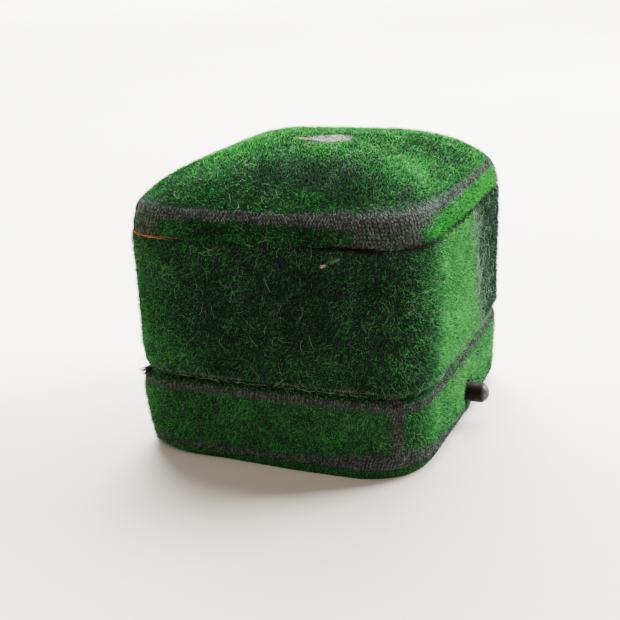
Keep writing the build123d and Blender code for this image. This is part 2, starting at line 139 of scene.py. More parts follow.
def minus(tree, first, second, clamp=False):
    """The first value less the second."""
    return math_node(tree, "SUBTRACT", first, second, clamp=clamp)


def times(tree, first, second, clamp=False):
    """The product of two values."""
    return math_node(tree, "MULTIPLY", first, second, clamp=clamp)


def noise_value(tree, place, scale, detail=2.0, roughness=0.5):
    """A noise from 0 to 1."""
    inputs = {"Vector": place, "Scale": scale, "Detail": detail, "Roughness": roughness}
    return add_node(tree, "ShaderNodeTexNoise", inputs).outputs["Fac"]


def split_vector(tree, vector):
    """The X, Y and Z outputs of a vector."""
    return add_node(tree, "ShaderNodeSeparateXYZ", {0: vector}).outputs


def new_group(name, kind, inputs, outputs):
    """A node group with named sockets, and its input and output nodes."""
    tree = bpy.data.node_groups.new(name, kind)
    for label, socket, value in inputs:
        made = tree.interface.new_socket(name=label, in_out="INPUT", socket_type=socket)
        if value is not None:
            made.default_value = value
    for label, socket in outputs:
        tree.interface.new_socket(name=label, in_out="OUTPUT", socket_type=socket)
    return tree, tree.nodes.new("NodeGroupInput"), tree.nodes.new("NodeGroupOutput")


def use_group(tree, group, inputs):
    """Place a shader node group in a material, and give its outputs."""
    return add_node(tree, "ShaderNodeGroup", inputs, node_tree=group).outputs


def color_ramp(tree, factor, stops):
    """A colour ramp from a list of (place, colour)."""
    node = tree.nodes.new("ShaderNodeValToRGB")
    tree.links.new(factor, node.inputs["Fac"])
    ramp = node.color_ramp
    while len(ramp.elements) < len(stops):
        ramp.elements.new(0.5)
    for element, (place, color) in zip(ramp.elements, stops):
        element.position = place
        element.color = (*color, 1)
    return node.outputs["Color"]


def mix_color(tree, factor, first, second):
    """Mix two colours."""
    node = add_node(tree, "ShaderNodeMix", {0: factor}, data_type="RGBA")
    for key, value in ((6, first), (7, second)):
        link_or_set(tree, node.inputs[key], (*value, 1) if isinstance(value, tuple) else value)
    return node.outputs[2]


def new_material(name, **constants):
    """A material with one Principled shader; constants are set on the shader's own sockets."""
    material = bpy.data.materials.new(name)
    material.use_nodes = True
    shader = material.node_tree.nodes["Principled BSDF"]
    for key, value in constants.items():
        shader.inputs[key.replace("_", " ").title().replace("Ior", "IOR")].default_value = value
    return material, material.node_tree, shader


def coordinates(tree, kind="Object"):
    """Object or UV coordinates."""
    return tree.nodes.new("ShaderNodeTexCoord").outputs[kind]


def add_relief(tree, shader, height, strength, depth):
    """Give a shader a fine relief, with its depth in mm."""
    inputs = {"Height": height, "Strength": strength, "Distance": depth * MM}
    tree.links.new(add_node(tree, "ShaderNodeBump", inputs).outputs["Normal"], shader.inputs["Normal"])


# %% [markdown]
# The floor is one wide sheet of pale paper. It catches the soft shadow, and it also carries painted
# shadow close in front of the box and painted shade on its left side; it isn't part of the box. Large soft
# lights stand where a photographer's would.

# %% Floor and light
FLOOR_SIZE = 6.0
PAPER_COLORS = [(0.3, (0.56, 0.535, 0.505)), (0.7, (0.59, 0.565, 0.535))]
# Painted shade and painted shadow on the paper: greyer on its left side, darker and warmer just in front of
# the box.
PAPER_LEFT_PAINTED_SHADE = (0.36, 0.325, 0.285)
PAPER_PAINTED_SHADOW = (0.455, 0.43, 0.375)
SKY_COLOR, SKY_STRENGTH = (1.0, 0.87, 0.74, 1), 0.38
# name, place, aim and size in metres, power in watts, colour
LIGHTS = [
    ("key", (0.42, -0.52, 0.50), (0, 0, 0.02), 0.36, 38, (1, 1, 1)),
    ("overhead", (0.32, 0.02, 0.58), (0.04, 0, 0.02), 0.50, 27, (1, 1, 1)),
    ("far paper", (1.5, 0.65, 1.1), (1.3, 0.55, 0), 1.4, 330, (1, 1, 1)),
    ("fill", (-0.60, 0.10, 0.45), (0, 0, 0.02), 0.6, 4.4, (1.0, 0.88, 0.77)),
]


def paper_color(tree):
    """Paper with a faint mottle, with painted shade that greys its left side and a warm painted shadow in
    front of the box.
    """
    place = coordinates(tree)
    across = split_vector(tree, place)
    tint = color_ramp(tree, noise_value(tree, place, 9.0), PAPER_COLORS)
    reach = add_node(tree, "ShaderNodeVectorMath", {0: place}, operation="LENGTH").outputs["Value"]
    # Painted shadow: close in front of the box the paper turns darker and warmer.
    close = times(tree, minus(tree, 0.135, reach), 13.0, clamp=True)
    along = plus(tree, times(tree, across["X"], -0.92), times(tree, across["Y"], -0.40))
    ahead = times(tree, plus(tree, along, 0.02), 20.0, clamp=True)
    tint = mix_color(tree, times(tree, close, ahead), tint, PAPER_PAINTED_SHADOW)
    # Painted shade: the paper turns greyer towards its left side.
    left = times(tree, plus(tree, across["X"], 0.01), -9.0, clamp=True)
    return mix_color(tree, left, tint, PAPER_LEFT_PAINTED_SHADE)


def make_floor():
    """A wide paper floor."""
    h = FLOOR_SIZE
    mesh = bpy.data.meshes.new("floor")
    mesh.from_pydata([(-h, -h, 0), (h, -h, 0), (h, h, 0), (-h, h, 0)], [], [(0, 1, 2, 3)])
    floor = bpy.data.objects.new("floor", mesh)
    bpy.context.scene.collection.objects.link(floor)
    material, tree, shader = new_material("pale paper", roughness=0.9)
    tree.links.new(paper_color(tree), shader.inputs["Base Color"])
    mesh.materials.append(material)


def soft_light(name, place, aim, size, power, color):
    """A square area light that faces a point."""
    data = bpy.data.lights.new(name, "AREA")
    data.size = size
    data.energy = power
    data.color = color
    lamp = bpy.data.objects.new(name, data)
    lamp.location = place
    lamp.rotation_euler = (Vector(aim) - Vector(place)).to_track_quat("-Z", "Y").to_euler()
    bpy.context.scene.collection.objects.link(lamp)


make_floor()
world = bpy.data.worlds.new("studio")
world.use_nodes = True
sky = world.node_tree.nodes["Background"]
sky.inputs["Color"].default_value = SKY_COLOR
sky.inputs["Strength"].default_value = SKY_STRENGTH
bpy.context.scene.world = world
for light in LIGHTS:
    soft_light(*light)
print("lights placed", [light[0] for light in LIGHTS])

# %% [markdown]
# Velvet is wrapped round the wood in four pieces: a strip round the base, a bottom, a strip round
# the lid and a domed top. Each is cut from cloth and glued, so each is modelled as a sheet that
# follows the plan outline at every height. An outline is a rounded rectangle with slightly swollen
# sides. The levels below are read from the measured model's boxes.

# %% Outline levels
SIDE_BOW = 0.5
_, ridge_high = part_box("base_bottom_velvet")
_, side_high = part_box("base_side_velvet")
lid_low, lid_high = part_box("lid_side_velvet")
_, top_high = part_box("lid_top_velvet")
hinge_low, hinge_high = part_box("hinge_pin")
button_low, button_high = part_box("button_barrel")


def plan(height, half_x, half_y, corner):
    """One level of an outline, all in mm: height, half width, half depth, corner radius, side bow."""
    return height, half_x, half_y, corner, SIDE_BOW


ridge_x = ridge_high[0] / MM - SIDE_BOW
ridge_y = ridge_high[1] / MM - SIDE_BOW
rim_x, rim_y = ridge_x - 0.9, ridge_y + 0.3
lip_height = side_high[2] / MM
lid_lip_height = lid_low[2] / MM
seam_height = lid_high[2] / MM
seam_x = lid_high[0] / MM - SIDE_BOW
seam_y = lid_high[1] / MM - SIDE_BOW
FOOT = plan(0.0, ridge_x - 1.6, ridge_y - 1.6, 7.6)
RIDGE = plan(ridge_high[2] / MM, ridge_x, ridge_y, 8.4)
RIM = plan(lip_height - 0.5, rim_x, rim_y, 5.2)
LIP = plan(lip_height, rim_x - 1.1, rim_y - 1.1, 4.65)
LID_LIP = plan(lid_lip_height, rim_x - 1.1, rim_y - 1.0, 4.65)
LID_RIM = plan(lid_lip_height + 1.0, rim_x, rim_y + 0.1, 5.2)
SEAM = plan(seam_height, seam_x, seam_y, 6.6)
CROWN = plan(seam_height + 3.8, seam_x - 0.4, seam_y - 0.7, 6.9)
DOME_RISE = top_high[2] / MM - CROWN[0]
DOME_POWER = 3.3
HINGE_Y = (hinge_low[1] + hinge_high[1]) / 2 / MM
HINGE_Z = (hinge_low[2] + hinge_high[2]) / 2 / MM
HINGE_HALF = hinge_high[0] / MM
BUTTON_Z = round((button_low[2] + button_high[2]) / 2 / MM, 3)
print("seam at", round(seam_height, 2), "dome rise", round(DOME_RISE, 2))
print("hinge", round(HINGE_Y, 2), round(HINGE_Z, 2), "button", BUTTON_Z)

# %% [markdown]
# Every outline has the same number of points, so points of one number lie one above another at all
# levels. Bends of the profile are then rounded, and rows are added where levels lie far apart.

# %% Outline points
SIDE_STEPS = 70
CORNER_STEPS = 16
RING = 4 * (SIDE_STEPS + CORNER_STEPS)


def arc_point(centre, radius, degrees):
    """A point on a corner's arc."""
    angle = math.radians(degrees)
    return np.array((centre[0] + radius * math.cos(angle), centre[1] + radius * math.sin(angle)))


def outline(level):
    """Points of one plan outline, anticlockwise from the middle of the front left corner."""
    _, half_x, half_y, corner, bow = level
    corner = min(corner, half_x * 0.98, half_y * 0.98)
    # side of each corner in x and y, and the angle where its arc starts
    corners = [(-1, -1, 225), (1, -1, 270), (1, 1, 0), (-1, 1, 90), (-1, -1, 180)]
    arcs = [((sx * (half_x - corner), sy * (half_y - corner)), start) for sx, sy, start in corners]
    points = []
    for index, (centre, start) in enumerate(arcs):
        steps, turn = (CORNER_STEPS // 2, 45) if index in (0, 4) else (CORNER_STEPS, 90)
        points += [arc_point(centre, corner, start + turn * i / steps) for i in range(steps)]
        if index < 4:
            next_centre, next_start = arcs[index + 1]
            begin = arc_point(centre, corner, start + turn)
            side = arc_point(next_centre, corner, next_start) - begin
            points += [begin + side * i / SIDE_STEPS for i in range(SIDE_STEPS)]
    points = np.array(points)
    share = points / (half_x, half_y)
    points[:, 0] += share[:, 0] * bow * (1 - share[:, 1] ** 2)
    points[:, 1] += share[:, 1] * bow * (1 - share[:, 0] ** 2)
    return points


def soften(levels, reach):
    """Round each bend of a profile: every inner level becomes a short curve."""
    levels = [np.array(level, float) for level in levels]
    rows = [levels[0]]
    for before, here, after in zip(levels, levels[1:], levels[2:]):
        ends = []
        for other in (before, after):
            length = np.linalg.norm((other - here)[:3])
            ends.append(here + (other - here) * min(reach / length, 0.45))
        for t in np.linspace(0, 1, 6):
            rows.append((1 - t) ** 2 * ends[0] + 2 * t * (1 - t) * here + t**2 * ends[1])
    rows.append(levels[-1])
    return rows


def fill_rows(rows, step):
    """Add rows between far-apart levels."""
    filled = [rows[0]]
    for low, high in zip(rows, rows[1:]):
        count = max(1, round(np.linalg.norm((high - low)[:3]) / step))
        filled += [low + (high - low) * i / count for i in range(1, count + 1)]
    return filled


print("points round the box:", len(outline(RIM)))

# %% [markdown]
# A skin is a grid of rows and outline points. Each point also carries what the nap needs: how worn
# it is, how light its nap looks, how long the pile stands and where the cloth is bare. Old glued
# cloth is never dead flat, so a slow noise moves the surface by about a tenth of a millimetre.

# %% Skin grids


def bump(value, width):
    """A smooth hump, 1 at 0 and near 0 past its width."""
    return np.exp(-((value / width) ** 2))


class Skin:
    """One velvet piece as a grid: rows of outline points, with values for the nap."""

    def __init__(self, name, rows, swell=0.11):
        self.name = name
        self.points = np.zeros((len(rows), RING, 3))
        for r, row in enumerate(rows):
            self.points[r, :, :2] = outline(row)
            self.points[r, :, 2] = row[0]
        steps = np.linalg.norm(np.diff(self.points[:, RING // 8, :], axis=0), axis=1)
        self.height = np.concatenate([[0], np.cumsum(steps)])
        ring = self.points[0]
        self.along = np.concatenate([[0], np.cumsum(np.linalg.norm(np.diff(ring, axis=0), axis=1))])
        self.wear = np.zeros(self.points.shape[:2])
        self.tone = np.zeros(self.points.shape[:2])
        self.pile = np.ones(self.points.shape[:2])
        self.bare = np.zeros(self.points.shape[:2])
        self.settle()
        self.ripple(swell)

    def settle(self):
        """The base sags and swells a little at its back left corner and along its front foot."""
        p = self.points
        near = np.exp(-(((p[..., 0] + 21) / 9) ** 2) - ((p[..., 1] - 20) / 9) ** 2)
        low = np.clip((lip_height + 0.5 - p[..., 2]) / 3.0, 0, 1)
        sag = 0.75 * near * bump(p[..., 2] - RIDGE[0] + 0.4, 1.6)
        p[..., 0] -= 0.30 * near * low
        p[..., 1] += 0.85 * near * low
        foot = np.clip((2.2 - p[..., 2]) / 1.9, 0, 1) * np.clip(-p[..., 0] / 6 - 2, 0, 1)
        foot *= np.clip((8 - p[..., 1]) / 12, 0, 1)
        front = np.clip((5 - p[..., 2]) / 4, 0, 1) * np.clip(-p[..., 1] / 5 - 3, 0, 1)
        p[..., 0] -= 0.5 * foot
        p[..., 1] -= 0.4 * front
        p[..., 2] = np.maximum(p[..., 2] - sag, 0.02)

    def ripple(self, amount):
        """Slow hand-made unevenness, outwards and inwards."""
        for r in range(self.points.shape[0]):
            for i in range(RING):
                p = Vector(self.points[r, i])
                push = noise.noise(p * 0.11) + 0.5 * noise.noise(p * 0.31)
                out = Vector((p.x, p.y, 0)).normalized()
                self.points[r, i] += np.array(out) * push * amount

    def normals(self):
        """Outward direction at each grid point."""
        along = np.roll(self.points, -1, axis=1) - np.roll(self.points, 1, axis=1)
        up = np.gradient(self.points, axis=0)
        out = np.cross(along, up)
        length = np.linalg.norm(out, axis=2, keepdims=True)
        return out / np.maximum(length, 1e-9)


def shrunk(height, edge, share):
    """A row at a height, with the outline of an edge shrunk to a share of its size."""
    return np.array((height, *(np.array(edge[1:]) * share)))


def dome_rows(edge, count):
    """Rows from the crown ridge to near the middle of the dome."""
    shares = np.linspace(1, 0.02, count)
    return [shrunk(edge[0] + DOME_RISE * (1 - share**DOME_POWER), edge, share) for share in shares]


ROW_STEP = 0.55
BOTTOM_HEIGHT, BOTTOM_EDGE = 0.02, 1.75

base_rows = [
    plan(1.7, ridge_x - 0.75, ridge_y - 0.75, 8.1),
    plan(1.95, ridge_x - 0.28, ridge_y - 0.28, 8.2),
    RIDGE, RIM, LIP,
    plan(lip_height - 0.25, rim_x - 1.75, rim_y - 1.75, 4.2),
]
lid_rows = [
    plan(lid_lip_height + 0.3, rim_x - 1.75, rim_y - 1.65, 4.2),
    LID_LIP, LID_RIM,
    plan(seam_height - 0.30, seam_x, seam_y, 6.6),
    plan(seam_height + 0.12, seam_x - 0.5, seam_y - 0.5, 6.4),
]
strip_rows = [
    plan(seam_height - 0.10, seam_x - 0.46, seam_y - 0.46, 6.4),
    plan(seam_height + 0.30, seam_x - 0.03, seam_y - 0.03, 6.6),
    CROWN,
]
dome = dome_rows(CROWN, 46)
top_rows = fill_rows(soften(strip_rows + dome[3:4], 0.9), ROW_STEP) + dome[4:]
bottom_rows = [shrunk(BOTTOM_HEIGHT, FOOT, share) for share in np.linspace(0.03, 1, 40)]
bottom_rows += fill_rows(soften([FOOT, RIDGE], 0.5), ROW_STEP)[1:-1]
bottom_rows = [row for row in bottom_rows if row[0] < BOTTOM_EDGE]

base_side = Skin("base_side", fill_rows(soften(base_rows, 0.7), ROW_STEP))
lid_side = Skin("lid_side", fill_rows(soften(lid_rows, 0.45), ROW_STEP))
lid_top = Skin("lid_top", top_rows, 0.09)
base_bottom = Skin("base_bottom", bottom_rows, 0.0)
for skin in (base_side, lid_side, lid_top, base_bottom):
    print(skin.name, skin.points.shape[:2], "rows and points")

# %% [markdown]
# Where hands and tables rub the box, the pile is gone and the grey woven backing shows. That is so on
# the crown ridge, most of all at the front left corner, on the lid's lower edge, on the base rim, on
# the ridge under the base and in a spot on top of the dome. The nap also looks light or dark, partly by
# the way it was last brushed and partly by painted sheen and shade: the fronts, the back of the left face
# and the far side of the dome are painted lighter, the lips in the parting gap and the seam's groove
# darker. Both are stored on the grid, because pile, threads and cloth all read them.

# %% Wear and nap


def spot(points, centre, radii):
    """A smooth spot in space."""
    return np.exp(-(((points - np.array(centre)) / np.array(radii)) ** 2).sum(axis=2))


def slow_noise(points, scale, seed):
    """Noise from -1 to 1 over a grid of points."""
    flat = points.reshape(-1, 3) * scale + seed * 17.3
    return np.array([noise.noise(Vector(p)) for p in flat]).reshape(points.shape[:2])


FRONT_LEFT = (-20.5, -18.5)
BACK_LEFT = (-21.5, 18.5)


def near_corner(points, corner, reach_x, reach_y):
    """How near a point is to one upright corner of the box."""
    across = (points[..., 0] - corner[0]) / reach_x
    deep = (points[..., 1] - corner[1]) / reach_y
    return np.exp(-(across**2) - deep**2)


def hinge_clear(skin):
    """Shortens the pile beside the hinge and the button, and over the back edges that fold together."""
    p = skin.points
    barrel = np.hypot(p[..., 1] - HINGE_Y, p[..., 2] - HINGE_Z)
    barrel = np.where(np.abs(p[..., 0]) < HINGE_HALF + 0.9, barrel, 9)
    button = np.hypot(p[..., 0], p[..., 2] - BUTTON_Z)
    button = np.where(p[..., 1] < 0, button, 9)
    back = np.clip((np.hypot(p[..., 1] - HINGE_Y, p[..., 2] - HINGE_Z) - 0.8) / 3.0, 0.12, 1)
    skin.pile *= np.clip((barrel - 1.5) / 1.5, 0, 1) * np.clip((button - 1.62) / 0.8, 0, 1) * back


def seam_depth(points):
    """How open the lid's seam is: open on the front and at its left corner, covered by pile elsewhere."""
    front = np.clip((-points[..., 1] - 16) / 4, 0, 1)
    return np.clip(0.15 + front + near_corner(points, FRONT_LEFT, 8.0, 11.0), 0, 1)


def seam_shade_and_short_nap(skin, height, width, pile_width):
    """The nap beside the lid's seam is painted darker, as shade in its groove, and lies shorter; height and
    widths in mm.
    """
    groove = seam_depth(skin.points)
    # Painted shade: the tone is darkened along the seam's groove.
    skin.tone -= 0.30 * groove * bump(skin.points[..., 2] - height, width)
    skin.pile *= 1 - 0.6 * groove * bump(skin.points[..., 2] - height, pile_width)


# strength, centre and radii of the light and dark patches on the dome
DOME_PATCHES = [
    (0.30, (-8.5, -17.5, 40.5), (6.5, 5, 6)), (0.12, (-6, -9, 42), (5, 5, 9)),
    (-0.32, (-15.5, -5.0, 41), (5, 10, 6)), (-0.26, (5, -15, 42), (6, 4, 6)),
    (-0.14, (-19, -12, 39.5), (3, 7, 4)), (0.16, (-11, 12, 41), (7, 6, 6)),
]
BARE_SPOT, BARE_RADII = (-0.1, -1.5, 43.1), (4.3, 4.6, 9)


def paint_lid_top():
    """Wear on the crown ridge, its left corners and the bare spot; soft light and dark on the dome, with
    painted sheen on its far side and on the front below the crown.
    """
    p = lid_top.points
    height = p[..., 2]
    front_left = near_corner(p, FRONT_LEFT, 9.0, 10.0)
    back_left = near_corner(p, BACK_LEFT, 6.0, 4.5)
    left = np.clip(-p[..., 0] / 10 - 1, 0, 1)
    width = 0.55 + 0.25 * left + 0.8 * front_left + 0.7 * back_left
    ridge = (0.95 + 0.05 * front_left) * bump(height - CROWN[0] + 0.25 * left, width)
    ridge += 0.45 * slow_noise(p, 0.8, 1) * bump(height - CROWN[0], 1.6)
    side = np.clip((-p[..., 0] - 17.5) / 2.5, 0, 1) * np.clip((CROWN[0] + 0.9 - height) / 0.8, 0, 1)
    front_strip = np.clip(front_left * 1.35 - 0.35 + 0.50 * slow_noise(p, 0.9, 14), 0, 0.70)
    back_strip = np.clip(back_left * 1.15 - 0.12 + 0.50 * slow_noise(p, 1.3, 20), 0, 0.85)
    strip = np.maximum(front_strip, back_strip) * side
    patch = spot(p + 0.35 * slow_noise(p, 0.9, 2)[..., None], BARE_SPOT, BARE_RADII)
    lid_top.bare = np.clip(patch * 2.4 - 0.9, 0, 1)
    worn = np.maximum.reduce([ridge, strip, np.clip(patch * 2.2 - 0.75, 0, 1)])
    lid_top.wear = np.clip(worn, 0, 1)
    tone = 0.44 + 0.15 * slow_noise(p, 0.16, 3) + 0.15 * slow_noise(p, 0.45, 4)
    # The last term is painted sheen: the dome is made lighter towards its far side.
    tone += 0.07 * slow_noise(p, 1.1, 17) + 0.15 * np.clip((p[..., 0] + 0.3 * p[..., 1] + 1) / 5, 0, 1)
    for strength, centre, radii in DOME_PATCHES:
        tone += strength * spot(p, centre, radii)
    # Painted sheen and light: the front below the crown is made much lighter, the left a little.
    below_ridge = height < CROWN[0] - 0.5
    tone += 0.33 * below_ridge * (p[..., 1] < -16) + 0.05 * below_ridge * left
    lid_top.tone = tone
    seam_shade_and_short_nap(lid_top, SEAM[0] + 0.15, 0.30, 0.25)


def paint_lid_side():
    """A worn lower edge, and a front that is lighter on its left (brushed nap and painted sheen) and brushed
    dark past the lint.
    """
    p = lid_side.points
    height = p[..., 2]
    front = (p[..., 1] < 0) * np.clip((-p[..., 1] - 17) / 4, 0, 1)
    left = np.clip((-p[..., 0] - 19) / 3.5, 0, 1)
    edge = bump(height - LID_RIM[0] + 0.40, 0.42) * (0.70 + 0.4 * slow_noise(p, 0.6, 5))
    corner = np.clip(1.35 * near_corner(p, (-21, -17), 4.5, 6) - 0.5, 0, 1)
    below_seam = corner * np.clip((height - SEAM[0] + 5) / 5, 0, 1)
    lid_side.wear = np.clip(np.maximum(edge, 0.75 * below_seam), 0, 1)
    tone = 0.48 + 0.14 * slow_noise(p, 0.14, 6) + 0.14 * slow_noise(p, 0.42, 7)
    tone += 0.07 * slow_noise(p, 1.1, 18)
    strip_x = 0.7 + (35 - height) * 0.22
    near_edge = np.clip((p[..., 0] + 17.3) / 5.5, 0, 1)
    # Brushed nap and painted sheen: the front is lighter from near its left corner up to the lint band.
    tone += front * (0.02 + 0.40 * near_edge) * (1 - np.clip((p[..., 0] - strip_x + 1) / 3, 0, 1))
    brushed = np.clip((p[..., 0] - strip_x - 1.3 * slow_noise(p, 0.18, 22)) / 5.5, 0, 1)
    brushed *= 1 - 0.35 * np.clip((p[..., 0] - 17) / 4, 0, 1)
    tone -= 0.37 * front * brushed * (1 - 0.4 * bump(height - lid_lip_height - 1.0, 1.6))
    tone -= 0.15 * left * (1 - 0.6 * front) * bump(p[..., 1] + 2, 16)
    tone -= 0.10 * left * bump(p[..., 1] + 8, 9) * bump(height - 28, 6)
    # The second term is painted shade at the lid's lip, in the parting gap.
    tone += 0.10 * left * bump(height - 16, 2.5) - 0.3 * bump(height - lid_lip_height, 0.5)
    # Painted sheen: the left face is lighter towards its back edge; the right face is a little lighter.
    tone += 0.17 * left * np.clip((p[..., 1] - 9) / 9, 0, 1) + 0.1 * np.clip((p[..., 0] - 19) / 3, 0, 1)
    lid_side.tone = tone
    seam_shade_and_short_nap(lid_side, SEAM[0], 0.35, 0.3)


def paint_base_side():
    """Worn rim and foot, the worn butt joint at the front left corner, and painted shade at the lip in the
    parting gap.
    """
    p = base_side.points
    height = p[..., 2]
    front = np.clip((-p[..., 1] - 17) / 4, 0, 1)
    front_left = near_corner(p, FRONT_LEFT, 9.0, 9.0)
    rim = bump(height - RIM[0] + 0.55, 0.80) * (0.80 + 0.24 * slow_noise(p, 0.8, 8))
    foot = bump(height - RIDGE[0] - 0.1, 0.62 + 1.6 * front_left)
    foot *= 0.84 + 0.5 * front_left + 0.24 * slow_noise(p, 0.5, 9)
    joint = bump(p[..., 0] - p[..., 1] + 4.0, 1.7 + 0.5 * slow_noise(p, 0.7, 10))
    joint *= (p[..., 1] < -12) * (p[..., 0] < -12) * (0.88 + 0.4 * slow_noise(p, 0.9, 16))
    base_side.wear = np.clip(np.maximum.reduce([rim, foot, joint]), 0, 1)
    tone = 0.71 + 0.12 * slow_noise(p, 0.16, 11) + 0.12 * slow_noise(p, 0.45, 12)
    # The second term is painted shade at the lip, in the parting gap.
    tone += 0.07 * slow_noise(p, 1.1, 19) - 0.35 * bump(height - lip_height, 0.35)
    near_foot = 0.08 - 0.26 * np.clip((7 - height) / 5, 0, 1)
    base_side.tone = tone + front * near_foot * np.clip((p[..., 0] + 21) / 5, 0, 1)


def paint_base_bottom():
    """A little wear near the edge, and no pile on the flat that it stands on."""
    p = base_bottom.points
    near_rim = np.hypot(p[..., 0], p[..., 1]) > 18
    base_bottom.wear = np.clip(0.55 * bump(p[..., 2], 0.25) * near_rim, 0, 1)
    base_bottom.tone = 0.84 + 0.12 * slow_noise(p, 0.2, 13)
    base_bottom.pile = np.where(p[..., 2] < 0.35, 0.0, 0.45)


paint_lid_top()
paint_lid_side()
paint_base_side()
paint_base_bottom()
for skin in (lid_top, lid_side, base_side):
    hinge_clear(skin)
    skin.tone = np.clip(skin.tone, 0, 1)
    skin.pile *= 1 - 0.75 * skin.wear
print("worn share of the lid top", round(float(lid_top.wear.mean()), 3))

# %% [markdown]
# The grids become meshes. The button needs a round hole and the hinge barrel needs a hollow, so grid
# points near them are moved aside before the cloth gets its thickness. The dome and the bottom are
# closed with one middle point. UV is the distance round and up the piece, in millimetres, so that
# a weave can follow the cloth.

# %% Skin meshes
CLOTH_THICKNESS = 0.55 * MM
BUTTON_REACH, BUTTON_HOLE = 3.2, 1.56
HINGE_HOLLOW = 1.34
FOLD_SHIFT = 0.42


def make_room(points):
    """Move cloth out of the way of the button and the hinge barrel."""
    x, y, z = points[..., 0], points[..., 1], points[..., 2]
    dx, dz = x, z - BUTTON_Z
    r = np.hypot(dx, dz)
    near = (r < BUTTON_REACH) & (y < -15)
    opened = BUTTON_HOLE + r * (BUTTON_REACH - BUTTON_HOLE) / BUTTON_REACH
    scale = np.where(near, opened / np.maximum(r, 1e-6), 1)
    points[..., 0], points[..., 2] = dx * scale, BUTTON_Z + dz * scale
    fold = np.clip((y - 19.5) / 1.5, 0, 1) * np.clip((20.5 - np.abs(x)) / 3, 0, 1)
    points[..., 1] -= FOLD_SHIFT * fold * bump(points[..., 2] - HINGE_Z, 2.0)
    dy, dz = points[..., 1] - HINGE_Y, points[..., 2] - HINGE_Z
    r = np.hypot(dy, dz)
    beside = np.clip((HINGE_HALF + 0.9 - np.abs(x)) / 0.5, 0, 1)
    push = np.where(r < HINGE_HOLLOW, (HINGE_HOLLOW / np.maximum(r, 1e-6) - 1) * beside, 0)
    points[..., 1] += dy * push
    points[..., 2] += dz * push


def skin_mesh(skin, close):
    """Mesh of one skin, with wear, tone and pile on its points, and a UV in millimetres."""
    rows = skin.points.shape[0]
    flat = skin.points.reshape(-1, 3).copy()
    button_gap = np.zeros(flat.shape[0], bool)
    if skin is base_side:
        button_gap = (np.hypot(flat[:, 0], flat[:, 2] - BUTTON_Z) < 0.45) & (flat[:, 1] < -15)
    if skin in (base_side, lid_side):
        make_room(flat)
    faces = []
    for r in range(rows - 1):
        for i in range(RING):
            low, high, ahead = r * RING, (r + 1) * RING, (i + 1) % RING
            face = (low + i, low + ahead, high + ahead, high + i)
            if not button_gap[list(face)].any():
                faces.append(face)
    values = {key: getattr(skin, key).reshape(-1) for key in ("wear", "tone", "pile", "bare")}
    if close:
        row = rows - 1 if close == "top" else 0
        ring = flat[row * RING:(row + 1) * RING]
        middle = len(flat)
        flat = np.vstack([flat, ring.mean(axis=0)])
        values = {key: np.append(v, v[row * RING]) for key, v in values.items()}
        order = 1 if close == "top" else -1
        first = row * RING
        faces += [(first + i, first + (i + 1) % RING, middle)[::order] for i in range(RING)]
    mesh = bpy.data.meshes.new(skin.name)
    mesh.from_pydata((flat * MM).tolist(), [], faces)
    for key, v in values.items():
        mesh.attributes.new(key, "FLOAT", "POINT").data.foreach_set("value", v.astype(np.float32))
    uv = mesh.uv_layers.new(name="cloth")
    along = np.tile(skin.along, rows)
    up = np.repeat(skin.height, RING)
    for polygon in mesh.polygons:
        for loop, vertex in zip(polygon.loop_indices, polygon.vertices):
            u = along[vertex % RING]
            if polygon.vertices[0] % RING == RING - 1 and vertex % RING == 0:
                u = along[-1] + along[1]
            uv.data[loop].uv = (u, up[vertex] if vertex < len(up) else skin.height[-1])
    mesh.shade_smooth()
    mesh.validate()
    return mesh


def cloth_piece(name, mesh, body):
    """An object of the lid or base, with its cloth given a thickness inwards."""
    piece = bpy.data.objects.new(name, mesh)
    bpy.context.scene.collection.objects.link(piece)
    solid = piece.modifiers.new("thickness", "SOLIDIFY")
    solid.thickness = CLOTH_THICKNESS
    solid.offset = -1
    solid.use_rim = True
    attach(piece, body)
    return piece


skins = {
    "base_side_cloth": (base_side, "", "base"),
    "base_bottom_cloth": (base_bottom, "bottom", "base"),
    "lid_side_cloth": (lid_side, "", "lid"),
    "lid_top_cloth": (lid_top, "top", "lid"),
}
cloth = {}
for name, (skin, close, body) in skins.items():
    cloth[name] = cloth_piece(name, skin_mesh(skin, close), body)
print("cloth pieces", {name: len(piece.data.polygons) for name, piece in cloth.items()})

# %% [markdown]
# Three effects are used by several finishes, so each is a shader node group. `nap mottle` turns the
# stored tone and a fine noise into light and dark green. `woven ground` draws the grey threads under
# the pile, over and under, from the cloth's own UV. `handled metal` rubs bright patches, laid by a
# noise, and dulls the rest of the brass, steel and bronze.

# %% Shader groups
NAP_COLORS = [
    (0.0, (0.0028, 0.0040, 0.0037)), (0.25, (0.0046, 0.0115, 0.0068)), (0.5, (0.0080, 0.034, 0.0125)),
    (0.78, (0.012, 0.12, 0.014)), (1.0, (0.026, 0.20, 0.028)),
]
GROUND_COLORS = [(0.30, (0.0085, 0.0089, 0.0093)), (0.90, (0.036, 0.0372, 0.0382))]
BARE_COLORS = [(0.1, (0.020, 0.022, 0.019)), (0.8, (0.235, 0.228, 0.178))]


